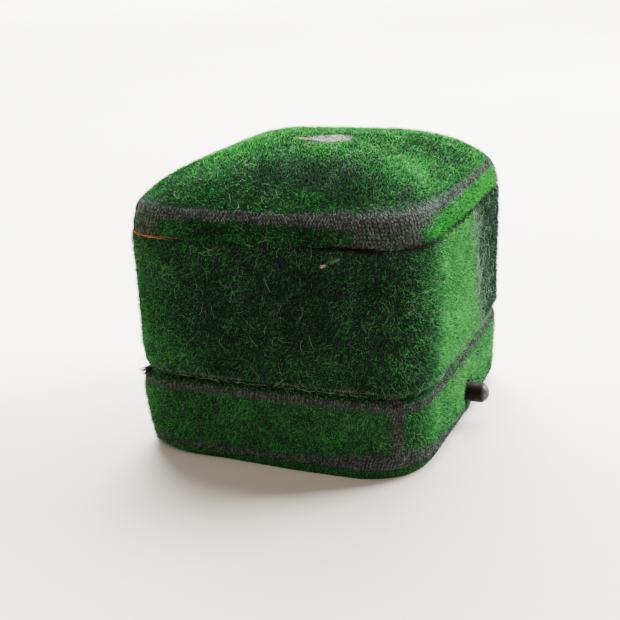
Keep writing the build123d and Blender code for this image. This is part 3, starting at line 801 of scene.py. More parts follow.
def make_nap_group():
    """Nap colour and height from tone and a fine noise."""
    tree, inside, outside = new_group("nap mottle", "ShaderNodeTree", [
        ("Place", VECTOR, None), ("Tone", FLOAT, 0.5), ("Grain", FLOAT, 3400.0), ("Contrast", FLOAT, 0.8)],
        [("Color", COLOR), ("Height", FLOAT)])
    get = inside.outputs
    grain = noise_value(tree, get["Place"], get["Grain"])
    speck = times(tree, minus(tree, grain, 0.5), get["Contrast"])
    slow = times(tree, minus(tree, noise_value(tree, get["Place"], 260.0, 3.0), 0.5), 0.3)
    tone = plus(tree, plus(tree, get["Tone"], speck), slow, clamp=True)
    tree.links.new(color_ramp(tree, tone, NAP_COLORS), outside.inputs["Color"])
    tree.links.new(grain, outside.inputs["Height"])
    return tree


def make_ground_group():
    """Plain weave: warp and weft threads with gaps, as a colour and a height."""
    tree, inside, outside = new_group("woven ground", "ShaderNodeTree", [
        ("Place", VECTOR, None), ("Threads", FLOAT, 2.2)], [("Color", COLOR), ("Height", FLOAT)])
    get = inside.outputs
    wobble = add_node(tree, "ShaderNodeTexNoise", {"Vector": get["Place"], "Scale": 0.8})
    moved = {0: get["Place"], 1: wobble.outputs["Color"]}
    place = add_node(tree, "ShaderNodeVectorMath", moved, operation="ADD").outputs[0]
    across = split_vector(tree, place)
    waves = []
    for axis in ("X", "Y"):
        turn = times(tree, times(tree, across[axis], get["Threads"]), math.pi)
        waves.append(math_node(tree, "ABSOLUTE", math_node(tree, "SINE", turn)))
    height = times(tree, waves[0], math_node(tree, "POWER", waves[1], 0.5))
    tree.links.new(color_ramp(tree, height, GROUND_COLORS), outside.inputs["Color"])
    tree.links.new(height, outside.inputs["Height"])
    return tree


def make_metal_group():
    """Dull and rubbed metal: a colour, a roughness and fine scratches."""
    tree, inside, outside = new_group("handled metal", "ShaderNodeTree", [
        ("Place", VECTOR, None), ("Bright", COLOR, (0.8, 0.6, 0.3, 1)), ("Dull", COLOR, (0.3, 0.2, 0.1, 1)),
        ("Amount", FLOAT, 0.5), ("Size", FLOAT, 900.0)],
        [("Color", COLOR), ("Roughness", FLOAT), ("Height", FLOAT)])
    get = inside.outputs
    blotch = noise_value(tree, get["Place"], get["Size"], 5.0, 0.65)
    rubbed = times(tree, minus(tree, plus(tree, blotch, get["Amount"]), 0.62), 2.6, clamp=True)
    tree.links.new(mix_color(tree, rubbed, get["Dull"], get["Bright"]), outside.inputs["Color"])
    tree.links.new(minus(tree, 0.62, times(tree, rubbed, 0.3)), outside.inputs["Roughness"])
    tree.links.new(noise_value(tree, get["Place"], 5200.0), outside.inputs["Height"])
    return tree


nap_group, ground_group, metal_group = make_nap_group(), make_ground_group(), make_metal_group()
print("shader groups", [g.name for g in (nap_group, ground_group, metal_group)])

# %% [markdown]
# The cloth under the pile is dark green where the pile is thick and grey where it is gone. Its sheen
# is the soft light that velvet shows at a slant, and is set on the shader itself.

# %% Cloth materials


def attribute(tree, name):
    """A value that the mesh carries."""
    return add_node(tree, "ShaderNodeAttribute", (), attribute_name=name).outputs["Fac"]


def velvet_ground(name):
    """Velvet cloth: nap colour that wears through to the woven ground."""
    material, tree, shader = new_material(name, roughness=0.95, sheen_weight=0.1, sheen_roughness=0.45)
    shader.inputs["Sheen Tint"].default_value = (0.03, 0.5, 0.04, 1)
    shader.inputs["Specular IOR Level"].default_value = 0.05
    place = coordinates(tree)
    nap = use_group(tree, nap_group, {"Place": place, "Tone": times(tree, attribute(tree, "tone"), 0.5)})
    weave = use_group(tree, ground_group, {"Place": coordinates(tree, "UV"), "Threads": 1.9})
    fray = times(tree, minus(tree, noise_value(tree, place, 1400.0), 0.5), 0.9)
    edge = plus(tree, attribute(tree, "wear"), fray)
    worn = times(tree, minus(tree, edge, 0.34), 3.0, clamp=True)
    speck = times(tree, minus(tree, noise_value(tree, place, 1700.0, 1.0), 0.5), 4.5)
    lit = plus(tree, speck, times(tree, weave["Height"], 0.75), clamp=True)
    bare = color_ramp(tree, lit, BARE_COLORS)
    backing = mix_color(tree, attribute(tree, "bare"), weave["Color"], bare)
    tree.links.new(mix_color(tree, worn, nap["Color"], backing), shader.inputs["Base Color"])
    height = plus(tree, times(tree, nap["Height"], 0.5), times(tree, weave["Height"], worn))
    add_relief(tree, shader, height, 0.8, 0.12)
    return material


strip_velvet = velvet_ground("velvet strip cloth")
dome_velvet = velvet_ground("velvet dome cloth")
for name in ("base_side_cloth", "lid_side_cloth"):
    cloth[name].data.materials.append(strip_velvet)
for name in ("lid_top_cloth", "base_bottom_cloth"):
    cloth[name].data.materials.append(dome_velvet)
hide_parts("base_side_velvet")
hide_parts("base_bottom_velvet")
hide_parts("lid_side_velvet")
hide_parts("lid_top_velvet")
print("velvet materials", strip_velvet.name, "and", dome_velvet.name)

# %% [markdown]
# The pile itself is made with Geometry Nodes: points are scattered over the cloth, a thin three-sided
# tuft stands on each, and a fixed seed keeps every run the same. A tuft's shade comes from the nap
# tone at its root, a patchy noise and a little chance, and picks one of a row of dyed tints. A real
# pile has millions of fibres; a short dense layer and a fine longer one are enough at this scale.

# %% Pile tints


def tint_material(name, color, sheen, sheen_tint=(0.05, 0.6, 0.07)):
    """One dyed tint of pile, with its own sheen."""
    material, _, shader = new_material(name, roughness=0.8, sheen_weight=sheen, sheen_roughness=0.35)
    shader.inputs["Base Color"].default_value = (*color, 1)
    shader.inputs["Sheen Tint"].default_value = (*sheen_tint, 1)
    shader.inputs["Specular IOR Level"].default_value = 0.03
    return material


SIDE_COLORS = [
    (0.0030, 0.0046, 0.0044), (0.0058, 0.0096, 0.0090), (0.0098, 0.0185, 0.0150), (0.0160, 0.0350, 0.0235),
    (0.0225, 0.063, 0.0325), (0.0240, 0.108, 0.0325), (0.0190, 0.172, 0.0220), (0.036, 0.268, 0.038),
]
DOME_COLORS = [
    (0.0014, 0.0056, 0.0024), (0.0021, 0.0118, 0.0036), (0.0032, 0.0230, 0.0054), (0.0050, 0.041, 0.0080),
    (0.0074, 0.069, 0.0110), (0.0100, 0.109, 0.0138), (0.0125, 0.168, 0.0155), (0.0225, 0.255, 0.0255),
]
GREY_COLORS = [(0.0160, 0.0176, 0.0182), (0.034, 0.0366, 0.0378), (0.066, 0.0695, 0.0710)]


def tint_row(name, colors, *finish):
    """One material for each colour of a row."""
    return [tint_material(f"{name} {i + 1}", color, *finish) for i, color in enumerate(colors)]


pile_tints = tint_row("side pile tint", SIDE_COLORS, 0.11, (0.24, 0.58, 0.36))
pile_tints += tint_row("dome pile tint", DOME_COLORS, 0.03)
FIRST_GREY = len(pile_tints)
pile_tints += tint_row("worn thread tint", GREY_COLORS, 0.02)
print("tints", len(pile_tints))

# %% [markdown]
# `plant` ends every tree here: it stands a shape on each point and gives the copy the tint that its
# point has picked. A tuft picks a green by its nap tone, or a grey where the cloth is worn.

# %% Pile tree


def named_value(tree, name, kind="FLOAT"):
    """Read a stored value in a geometry tree."""
    node = add_node(tree, "GeometryNodeInputNamedAttribute", {"Name": name}, data_type=kind)
    return node.outputs["Attribute"]


def chance(tree, low, high, seed, kind="FLOAT"):
    """A random value for each point."""
    low_slot, high_slot, result = {"FLOAT": (2, 3, 1), "FLOAT_VECTOR": (0, 1, 0), "INT": (4, 5, 2)}[kind]
    inputs = {low_slot: low, high_slot: high, "Seed": seed}
    return add_node(tree, "FunctionNodeRandomValue", inputs, data_type=kind).outputs[result]


def any_way(tree, seed, amount):
    """A random vector for each point, up to an amount along each axis."""
    return vector_math(tree, "SCALE", chance(tree, (-1, -1, -1), (1, 1, 1), seed, "FLOAT_VECTOR"), amount)


def vector_math(tree, operation, first, second):
    """One Vector Math node."""
    inputs = {0: first, 3 if operation == "SCALE" else 1: second}
    return add_node(tree, "ShaderNodeVectorMath", inputs, operation=operation).outputs[0]


def along_way(tree, way):
    """The rotation that stands a shape along a direction."""
    node = add_node(tree, "FunctionNodeAlignRotationToVector", {"Vector": way}, axis="Z")
    return node.outputs["Rotation"]


def size_of(tree, x, y, z):
    """One vector from three sizes."""
    return add_node(tree, "ShaderNodeCombineXYZ", {"X": x, "Y": y, "Z": z}).outputs[0]


def scatter(tree, get, density):
    """Points scattered over a cloth."""
    inputs = {"Mesh": get["Cloth"], "Seed": get["Seed"], "Density": density}
    return add_node(tree, "GeometryNodeDistributePointsOnFaces", inputs, distribute_method="RANDOM").outputs


def plant(tree, points, shape, turn, size, number, tints, options=()):
    """Stand a shape on each point, make the copies one mesh, and give each its tint by number."""
    marked = add_node(tree, "GeometryNodeStoreNamedAttribute", {
        "Geometry": points, "Name": "tint", "Value": number}, data_type="FLOAT", domain="POINT")
    placed = add_node(tree, "GeometryNodeInstanceOnPoints", {
        "Points": marked.outputs["Geometry"], "Instance": shape, "Rotation": turn, "Scale": size,
        **dict(options)})
    made = add_node(tree, "GeometryNodeRealizeInstances", {"Geometry": placed.outputs["Instances"]})
    for index, tint in enumerate(tints):
        pick = math_node(tree, "COMPARE", named_value(tree, "tint"), float(index), 0.3)
        made = add_node(tree, "GeometryNodeSetMaterial", {
            "Geometry": made.outputs["Geometry"], "Selection": pick, "Material": tint})
    return made.outputs["Geometry"]


def tuft_way(tree, normal, brush, spread):
    """Out from the cloth, brushed over in slow swirls, with a little chance."""
    place = tree.nodes.new("GeometryNodeInputPosition").outputs[0]
    swirl = add_node(tree, "ShaderNodeTexNoise", {"Vector": place, "Scale": 190.0}).outputs["Color"]
    lean = vector_math(tree, "SCALE", vector_math(tree, "SUBTRACT", swirl, (0.5, 0.5, 0.62)), 2.0)
    lean = vector_math(tree, "SCALE", lean, brush)
    return vector_math(tree, "ADD", vector_math(tree, "ADD", normal, lean), any_way(tree, 7, spread))


def tuft_tint(tree, get):
    """The number of a tuft's tint: a green by its nap tone, or a grey where the cloth is worn."""
    tone = named_value(tree, "tone")
    patch = noise_value(tree, tree.nodes.new("GeometryNodeInputPosition").outputs[0], 330.0, 4.0, 0.62)
    mottle = times(tree, minus(tree, patch, 0.5), times(tree, get["Patchiness"], 2.0))
    luck = times(tree, chance(tree, -0.5, 0.5, 5), get["Chance"])
    luck = times(tree, luck, minus(tree, 1.2, times(tree, tone, 0.4)))
    shade = plus(tree, plus(tree, tone, mottle), luck, clamp=True)
    green = math_node(tree, "FLOOR", times(tree, shade, len(SIDE_COLORS) - 0.01))
    green = plus(tree, green, get["First Tint"])
    grey = math_node(tree, "FLOOR", times(tree, chance(tree, 0.0, 1.0, 6), len(GREY_COLORS) - 0.01))
    grey = plus(tree, grey, float(FIRST_GREY))
    worn = math_node(tree, "GREATER_THAN", named_value(tree, "wear"), chance(tree, 0.35, 1.05, 8))
    return plus(tree, times(tree, green, minus(tree, 1.0, worn)), times(tree, grey, worn))


def make_pile_tree():
    """Tufts scattered over a cloth by its stored pile, tone and wear."""
    tree, inside, outside = new_group("pile", "GeometryNodeTree", [
        ("Cloth", GEOMETRY, None), ("Density", FLOAT, 15e6), ("Length", FLOAT, 0.8 * MM),
        ("Width", FLOAT, 0.07 * MM), ("Brush", FLOAT, 0.5), ("Spread", FLOAT, 0.5),
        ("Patchiness", FLOAT, 0.3), ("Chance", FLOAT, 0.4), ("First Tint", FLOAT, 0.0), ("Seed", WHOLE, 1)],
        [("Pile", GEOMETRY)])
    get = inside.outputs
    standing = math_node(tree, "GREATER_THAN", named_value(tree, "pile"), 0.03)
    thinned = minus(tree, 1.0, times(tree, named_value(tree, "wear"), 0.75))
    roots = scatter(tree, get, times(tree, times(tree, get["Density"], thinned), standing))
    turn = along_way(tree, tuft_way(tree, roots["Normal"], get["Brush"], get["Spread"]))
    tuft = add_node(tree, "GeometryNodeMeshCone", {
        "Vertices": 3, "Radius Top": 0.0, "Radius Bottom": 1.0, "Depth": 1.0}, fill_type="NGON")
    wide = times(tree, get["Width"], chance(tree, 0.7, 1.3, 3))
    tall = times(tree, times(tree, get["Length"], named_value(tree, "pile")), chance(tree, 0.55, 1.15, 4))
    size = size_of(tree, wide, wide, tall)
    made = plant(tree, roots["Points"], tuft.outputs["Mesh"], turn, size, tuft_tint(tree, get), pile_tints)
    tree.links.new(made, outside.inputs["Pile"])
    return tree


pile_tree = make_pile_tree()
print("pile tree nodes", len(pile_tree.nodes))

# %% [markdown]
# A tree is run on a copy of the cloth, and what it grows is kept as one plain mesh that moves with
# the lid or the base. The dome's pile picks from its own greens, which are a little deeper.

# %% Grow the pile
STORED = ("tint", "tone", "wear", "pile", "bare", "lint", "up", "out", "way")


def grow(tree, source, name, body, settings):
    """Run a geometry tree on a mesh and keep the result as one plain mesh on a body."""
    holder = bpy.data.objects.new("grower", source)
    bpy.context.scene.collection.objects.link(holder)
    modifier = holder.modifiers.new("grow", "NODES")
    modifier.node_group = tree
    sockets = {item.name: item.identifier for item in tree.interface.items_tree if item.in_out == "INPUT"}
    for key, value in settings.items():
        modifier[sockets[key]] = value
    evaluated = holder.evaluated_get(bpy.context.evaluated_depsgraph_get())
    mesh = bpy.data.meshes.new_from_object(evaluated)
    bpy.data.objects.remove(holder)
    mesh.name = name
    mesh.shade_smooth()
    for layer in [a.name for a in mesh.attributes if a.name in STORED]:
        mesh.attributes.remove(mesh.attributes[layer])
    piece = bpy.data.objects.new(name, mesh)
    bpy.context.scene.collection.objects.link(piece)
    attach(piece, body)
    return piece


SHORT_PILE = {"Density": 13e6, "Length": 0.54 * MM, "Width": 0.060 * MM, "Brush": 1.1,
              "Spread": 0.80, "Patchiness": 0.26, "Chance": 0.78}
FINE_PILE = {"Density": 12e6, "Length": 0.76 * MM, "Width": 0.038 * MM, "Brush": 1.1,
             "Spread": 1.00, "Patchiness": 0.28, "Chance": 1.10}
# skin, body and share of the full density; the bottom has short pile only
PILE_PLACES = [
    ("lid_side", "lid", 1), ("lid_top", "lid", 1), ("base_side", "base", 1), ("base_bottom", "base", 0.5)]
pile = {}
for name, body, share in PILE_PLACES:
    layers = {"short_pile": SHORT_PILE, "fine_pile": FINE_PILE}
    if name == "base_bottom":
        layers.pop("fine_pile")
    for layer, values in layers.items():
        settings = dict(values, Density=values["Density"] * share, Seed=len(pile) + 11)
        settings["First Tint"] = float(len(SIDE_COLORS)) if name == "lid_top" else 0.0
        piece = grow(pile_tree, cloth[name + "_cloth"].data, f"{name}_{layer}", body, settings)
        pile[piece.name] = piece
        print(piece.name, len(piece.data.polygons), "tuft faces")

# %% [markdown]
# Where the pile is gone, the backing shows as rows of short raised threads across the ridge. One
# flattened bead stands for each thread. Their seats are the grid points of the cloth where wear is
# high, every second row shifted by half a step, as in a real weave.

# %% Backing threads


def thread_seats(skin, least):
    """A mesh of points on the worn parts of a skin, with the outward and up directions stored."""
    points, out = skin.points.copy(), skin.normals()
    up = np.gradient(skin.points, axis=0)
    up /= np.maximum(np.linalg.norm(up, axis=2, keepdims=True), 1e-9)
    points[1::2] = (points[1::2] + np.roll(points[1::2], -1, axis=1)) / 2
    flat = points.reshape(-1, 3).copy()
    if skin in (base_side, lid_side):
        make_room(flat)
    keep = (skin.wear.reshape(-1) > least) & (skin.pile.reshape(-1) > 0.02) & (skin.bare.reshape(-1) < 0.2)
    mesh = bpy.data.meshes.new(f"{skin.name}_seats")
    mesh.from_pydata((flat[keep] * MM).tolist(), [], [])
    for key, value in (("up", up), ("out", out)):
        data = mesh.attributes.new(key, "FLOAT_VECTOR", "POINT").data
        data.foreach_set("vector", value.reshape(-1, 3)[keep].astype(np.float32).ravel())
    return mesh


def make_thread_tree():
    """One small bead on each seat, laid along the stored up direction."""
    tree, inside, outside = new_group("backing threads", "GeometryNodeTree", [
        ("Seats", GEOMETRY, None), ("Length", FLOAT, 0.205 * MM), ("Width", FLOAT, 0.080 * MM),
        ("Thickness", FLOAT, 0.12 * MM), ("Tilt", FLOAT, 0.45), ("Seed", WHOLE, 3)], [("Threads", GEOMETRY)])
    get = inside.outputs
    up, out = named_value(tree, "up", "FLOAT_VECTOR"), named_value(tree, "out", "FLOAT_VECTOR")
    turn = along_way(tree, vector_math(tree, "ADD", up, any_way(tree, get["Seed"], get["Tilt"])))
    face = add_node(tree, "FunctionNodeAlignRotationToVector", {
        "Rotation": turn, "Vector": out}, axis="X", pivot_axis="Z").outputs["Rotation"]
    bead = add_node(tree, "GeometryNodeMeshUVSphere", {"Segments": 6, "Rings": 4, "Radius": 1.0})
    wide = times(tree, get["Width"], chance(tree, 0.75, 1.2, 21))
    tall = times(tree, get["Length"], chance(tree, 0.7, 1.25, 22))
    size = size_of(tree, get["Thickness"], wide, tall)
    picked = math_node(tree, "FLOOR", chance(tree, 0.0, 2.99, 23))
    made = plant(tree, get["Seats"], bead.outputs["Mesh"], face, size, picked, pile_tints[FIRST_GREY:])
    tree.links.new(made, outside.inputs["Threads"])
    return tree


thread_tree = make_thread_tree()
threads = {}
for skin, body in ((lid_top, "lid"), (lid_side, "lid"), (base_side, "base")):
    name = f"{skin.name}_worn_threads"
    threads[name] = grow(thread_tree, thread_seats(skin, 0.5), name, body, {})
    print(name, len(threads[name].data.polygons), "faces")

# %% [markdown]
# Lint is what an old box gathers: pale curled hairs lying on the pile, thickest in a band down the
# front of the lid. Each hair is one of three thin bent tubes, turned at random and laid on the cloth
# just above the pile.

# %% Lint tree
LINT_COLORS = [(0.028, 0.075, 0.040), (0.11, 0.15, 0.085), (0.095, 0.170, 0.115)]
lint_tints = tint_row("lint tint", LINT_COLORS, 0.05)
# sideways bend and place of the second handle of each hair, in mm
LINT_CURLS = [(0.16, 0.3), (-0.10, 0.45), (0.34, 0.25)]


def bent_tube(tree, ring, points, steps):
    """A closed tube along one bent line, given as start, two handles and end."""
    keys = ("Start", "Start Handle", "End Handle", "End")
    inputs = dict(zip(keys, points), Resolution=steps)
    arc = add_node(tree, "GeometryNodeCurvePrimitiveBezierSegment", inputs)
    inputs = {"Curve": arc.outputs["Curve"], "Profile Curve": ring.outputs["Curve"], "Fill Caps": True}
    return add_node(tree, "GeometryNodeCurveToMesh", inputs).outputs["Mesh"]


def make_lint_tree():
    """Curled hairs scattered by a stored lint value."""
    tree, inside, outside = new_group("lint", "GeometryNodeTree", [
        ("Cloth", GEOMETRY, None), ("Density", FLOAT, 1e6), ("Length", FLOAT, 1.0 * MM),
        ("Width", FLOAT, 0.013 * MM), ("Lift", FLOAT, 0.3 * MM), ("Seed", WHOLE, 5)], [("Lint", GEOMETRY)])
    get = inside.outputs
    roots = scatter(tree, get, times(tree, get["Density"], named_value(tree, "lint")))
    shapes = tree.nodes.new("GeometryNodeJoinGeometry")
    ring = add_node(tree, "GeometryNodeCurvePrimitiveCircle", {"Resolution": 3, "Radius": get["Width"]})
    for bend, end in LINT_CURLS:
        handles = (-0.3, bend, 0.1), (end, bend * 0.8, 0.25)
        points = np.array(((-0.5, 0, 0), *handles, (0.5, bend * 0.3 - 0.1, 0.05))) * MM
        hair = bent_tube(tree, ring, points.tolist(), 6)
        single = add_node(tree, "GeometryNodeGeometryToInstance", {"Geometry": hair})
        tree.links.new(single.outputs["Instances"], shapes.inputs["Geometry"])
    spin = add_node(tree, "ShaderNodeCombineXYZ", {"Z": chance(tree, 0.0, 6.283, 31)})
    turn = add_node(tree, "FunctionNodeRotateRotation", {
        "Rotation": along_way(tree, roots["Normal"]), "Rotate By": spin.outputs[0]}, rotation_space="LOCAL")
    raised = vector_math(tree, "SCALE", roots["Normal"], get["Lift"])
    lifted = add_node(tree, "GeometryNodeSetPosition", {"Geometry": roots["Points"], "Offset": raised})
    size = times(tree, math_node(tree, "DIVIDE", get["Length"], MM), chance(tree, 0.4, 1.7, 33))
    picked = math_node(tree, "FLOOR", chance(tree, 0.0, 2.99, 32))
    which = {"Pick Instance": True, "Instance Index": chance(tree, 0, len(LINT_CURLS) - 1, 0, "INT")}
    made = plant(tree, lifted.outputs["Geometry"], shapes.outputs["Geometry"], turn.outputs["Rotation"],
                 size, picked, lint_tints, which)
    tree.links.new(made, outside.inputs["Lint"])
    return tree


# %% [markdown]
# The amount of lint is worked out on the cloth's grid: a thin scatter everywhere, a band down the
# front of the lid, a little along the lid's lower edge and a small tangle low on the base.

# %% Scatter the lint
LINT_THIN = 0.11


def lint_amount(skin):
    """Hairs per square millimetre at each grid point."""
    p = skin.points
    amount = np.full(p.shape[:2], LINT_THIN) * (1.5 + slow_noise(p, 0.25, 15))
    if skin is lid_side:
        strip_x = 0.3 + (35 - p[..., 2]) * 0.25
        front = p[..., 1] < -20
        amount += front * (8.0 * bump(p[..., 0] - strip_x, 1.3) + 1.9 * bump(p[..., 0] - strip_x - 3.5, 3.0))
        amount += 0.10 * (p[..., 0] < -20) + 3.0 * bump(p[..., 2] - LID_RIM[0] + 0.3, 0.35) * (p[..., 0] < 22)
    if skin is lid_top:
        amount += 0.06 + 0.25 * spot(p, (-19, 5, 39), (3, 5, 4))
    if skin is base_side:
        amount += 2.2 * spot(p, (-22.5, -18.6, 4.7), (0.9, 0.9, 1.6)) + 0.06 * (p[..., 1] < -18)
    return amount * (skin.pile > 0.1)


lint_tree = make_lint_tree()
lint = {}
for skin, body, length in ((lid_side, "lid", 1.25), (lid_top, "lid", 1.0), (base_side, "base", 1.0)):
    mesh = cloth[f"{skin.name}_cloth"].data.copy()
    amount = lint_amount(skin).reshape(-1)
    amount = np.append(amount, np.zeros(len(mesh.vertices) - len(amount)))
    mesh.attributes.new("lint", "FLOAT", "POINT").data.foreach_set("value", amount.astype(np.float32))
    name = f"{skin.name}_lint"
    settings = {"Seed": 5 + len(name), "Lift": 0.28 * MM, "Length": length * MM}
    lint[name] = grow(lint_tree, mesh, name, body, settings)
    print(name, len(lint[name].data.polygons), "faces")

# %% [markdown]
# The fine marks that make this box its own: the seam at the back left corner has split and shows
# orange fibres, dark strands lie along the front seam, a loose thread end sticks out at the back of
# the parting line, the worn spot on the dome has a torn cream edge with a painted shadow of dark
# strands beside it, and a small pink nub with a trail of fibres sits on the left side. All of these
# are short strands, so one tree lays a strand on each seat.

# %% Strand tree


def make_strand_tree(name, tints):
    """One thin bowed strand on each seat, along the stored way and as long as the stored length."""
    tree, inside, outside = new_group(name, "GeometryNodeTree", [
        ("Seats", GEOMETRY, None), ("Width", FLOAT, 0.04 * MM), ("Seed", WHOLE, 9)], [("Strands", GEOMETRY)])
    get = inside.outputs
    ring = add_node(tree, "GeometryNodeCurvePrimitiveCircle", {"Resolution": 4, "Radius": 1.0})
    tube = bent_tube(tree, ring, ((0, 0, 0), (0.0, 1.5, 0.35), (0.0, 1.5, 0.7), (0, 0, 1)), 5)
    wide = times(tree, get["Width"], chance(tree, 0.6, 1.2, 41))
    size = size_of(tree, wide, wide, named_value(tree, "long"))
    turn = along_way(tree, named_value(tree, "way", "FLOAT_VECTOR"))
    picked = math_node(tree, "FLOOR", chance(tree, 0.0, len(tints) - 0.01, get["Seed"]))
    made = plant(tree, get["Seats"], tube, turn, size, picked, tints)
    tree.links.new(made, outside.inputs["Strands"])
    return tree


def strand_seats(name, places, ways, lengths):
    """Seats for strands: where each starts, its way and its length, in mm."""
    mesh = bpy.data.meshes.new(name)
    mesh.from_pydata((np.array(places) * MM).tolist(), [], [])
    way, long = np.array(ways, np.float32), (np.array(lengths) * MM).astype(np.float32)
    mesh.attributes.new("way", "FLOAT_VECTOR", "POINT").data.foreach_set("vector", way.ravel())
    mesh.attributes.new("long", "FLOAT", "POINT").data.foreach_set("value", long)
    return mesh


def lay_strands(name, body, tints, width, places, ways, lengths):
    """A piece made of strands, each as wide as given in mm."""
    seats = strand_seats(f"{name}_seats", places, ways, lengths)
    print(name, len(places), "strands")
    return grow(make_strand_tree(name, tints), seats, name, body, {"Width": width * MM})


def stray_strands(places, way, stray, shortest, longest, upward=1.0):
    """Ways that stray round one direction, and lengths in mm, for strands at the given places."""
    ways = [np.array(way) + chooser.normal(0, stray, 3) * (1, 1, upward) for _ in places]
    lengths = [chooser.uniform(shortest, longest) for _ in places]
    return places, ways, lengths


def ring_place(skin, row, index):
    """A grid point of a skin and the direction to the next point round it."""
    points = skin.points[row]
    here, ahead = points[index % RING], points[(index + 3) % RING]
    way = ahead - here
    return here, way / np.linalg.norm(way)


def outward(here):
    """The level direction from the middle of the box to a place."""
    return np.array((here[0], here[1], 0)) / np.hypot(here[0], here[1])


chooser = np.random.default_rng(27)
seam_row = int(np.argmin(np.abs(lid_top.points[:, 0, 2] - SEAM[0] - 0.10)))
print("seam row", seam_row)

# %% [markdown]
# The split is fullest at the back left corner and thins out along the left side.

# %% Split seam
SPLIT_COLORS = [(0.22, 0.080, 0.024), (0.38, 0.20, 0.075), (0.06, 0.024, 0.011)]
split_tints = tint_row("split seam tint", SPLIT_COLORS, 0.02)
places, ways, lengths = [], [], []
for index in range(RING):
    here, way = ring_place(lid_top, seam_row, index)
    if here[0] > -19.5 or not 11.0 < here[1] < 21.0:
        continue
    amount = 6 if here[1] > 16 else 2 if here[1] > 13.5 else 1
    for _ in range(amount):
        push = chooser.uniform(-0.05, 0.40 if here[1] > 14 else 0.15)
        wide = 0.16 if here[1] > 16 else 0.05
        places.append(here + outward(here) * push + (0, 0, chooser.uniform(-wide, wide) - 0.05))
        ways.append(way + chooser.normal(0, 0.05, 3))
        lengths.append(chooser.uniform(0.4, 1.3))
split_seam = lay_strands("split_seam_fibres", "lid", split_tints, 0.032, places, ways, lengths)

# %% [markdown]
# Stitches show along the front of the seam and a little way round the left corner, in uneven runs.

# %% Dark seam strands
SEAM_DARK_COLORS = [(0.0022, 0.0026, 0.0024), (0.0060, 0.0048, 0.0042)]
seam_dark_tints = tint_row("stitch tint", SEAM_DARK_COLORS, 0.0)
places, ways, lengths = [], [], []
for index in range(RING):
    here, way = ring_place(lid_top, seam_row, index)
    on_front = here[1] < -17 and here[0] < 21
    on_left = here[0] < -19 and -19 < here[1] < -6
    if not (on_front or on_left):
        continue
    dense = 0.5 + 0.5 * math.sin(index * 0.21 + 1.3)
    if chooser.random() > 0.55 + 0.5 * dense:
        continue
    slant = np.array((0, 0, 1)) * (0.30 if on_front else 0.10)
    places.append(here + outward(here) * chooser.uniform(0.40, 0.62) + (0, 0, chooser.uniform(-0.12, 0.05)))
    ways.append(way + slant * chooser.choice((-1, 1)) + chooser.normal(0, 0.1, 3))
    lengths.append(chooser.uniform(0.30, 0.60) * (0.8 + 0.8 * dense))
seam_strands = lay_strands("seam_stitches", "lid", seam_dark_tints, 0.075, places, ways, lengths)

# %% [markdown]
# The small marks have places of their own, given one by one. The strands of each stray round one
# direction, and the drawn lengths keep them from looking cut.

# %% Loose thread
THREAD_COLORS = [(0.0035, 0.0048, 0.0065), (0.010, 0.013, 0.016)]
thread_tints = tint_row("loose thread tint", THREAD_COLORS, 0.0)
thread_at = np.array((-21.1, 20.5, 12.1))
places = [thread_at + chooser.normal(0, 0.20, 3) for _ in range(34)]
strands = stray_strands(places, (-0.30, 0.85, -0.40), 0.30, 0.3, 0.85)
loose_thread = lay_strands("loose_thread_end", "base", thread_tints, 0.06, *strands)

# %% Torn edge
TEAR_COLORS = [(0.66, 0.47, 0.30), (0.58, 0.48, 0.34), (0.40, 0.30, 0.21)]
tear_tints = tint_row("tear tint", TEAR_COLORS, 0.02)
dome_top = top_high[2] / MM


def beside_tear(x, spread, front, back, low, high):
    """A place near the bare spot, with its height over the top of the dome."""
    place = x + chooser.normal(0, spread), chooser.uniform(front, back), dome_top + chooser.uniform(low, high)
    return np.array(place)


places = [beside_tear(-1.1, 0.22, 1.6, 2.9, 0.0, 0.12) for _ in range(36)]
strands = stray_strands(places, (0.05, 0.9, 0.03), 0.16, 0.3, 0.8, 0.3)
torn_edge = lay_strands("torn_edge_fibres", "lid", tear_tints, 0.05, *strands)
# Painted shadow: dark strands just beside the torn edge stand for the shade it casts.
places = [beside_tear(-2.5, 0.12, -0.6, 1.4, -0.02, 0.06) for _ in range(12)]
strands = stray_strands(places, (0.0, 0.9, 0.03), 0.14, 0.3, 0.6, 0.3)
tear_shadow = lay_strands("torn_edge_dark_threads", "lid", seam_dark_tints, 0.045, *strands)

# %% Pink nub and its trail
NUB_COLORS = [(0.27, 0.19, 0.165), (0.19, 0.15, 0.125)]
nub_tints = tint_row("nub tint", NUB_COLORS, 0.02)
nub_at = np.array((-23.95, -9.2, 30.75))
places = [nub_at + chooser.normal(0, 0.09, 3) for _ in range(22)]
strands = stray_strands(places, (-0.1, -0.9, 0.35), 0.3, 0.15, 0.35)
nub = lay_strands("pink_nub", "lid", nub_tints, 0.05, *strands)
steps = chooser.uniform(0.3, 5.5, 30)
trail = [nub_at + (0.05, -0.42 * k, 0.24 * k - 0.012 * k * k) for k in steps]
places = [place + chooser.normal(0, 0.10, 3) for place in trail]
strands = stray_strands(places, (0.0, -0.84, 0.40), 0.45, 0.25, 0.6)
nub_trail = lay_strands("nub_trail_fibres", "lid", lint_tints, 0.02, *strands)

# %% [markdown]
# The metal parts are thin old brass and dark steel. The button is bronzed nearly black, with brown
# wear where a thumb has pressed it, and its pin end is a dull grey. Each metal uses the shared group
# with its own two colours. The rim plates that meet at the parting line are tarnished, and are made
# darkest of all as painted shade in the gap between lid and base.

# %% Metal materials


def wire_surface(shader, tree, surface, strength, depth):
    """Give a shader the colour of a surface group, and its height as a fine relief."""
    tree.links.new(surface["Color"], shader.inputs["Base Color"])
    add_relief(tree, shader, surface["Height"], strength, depth)


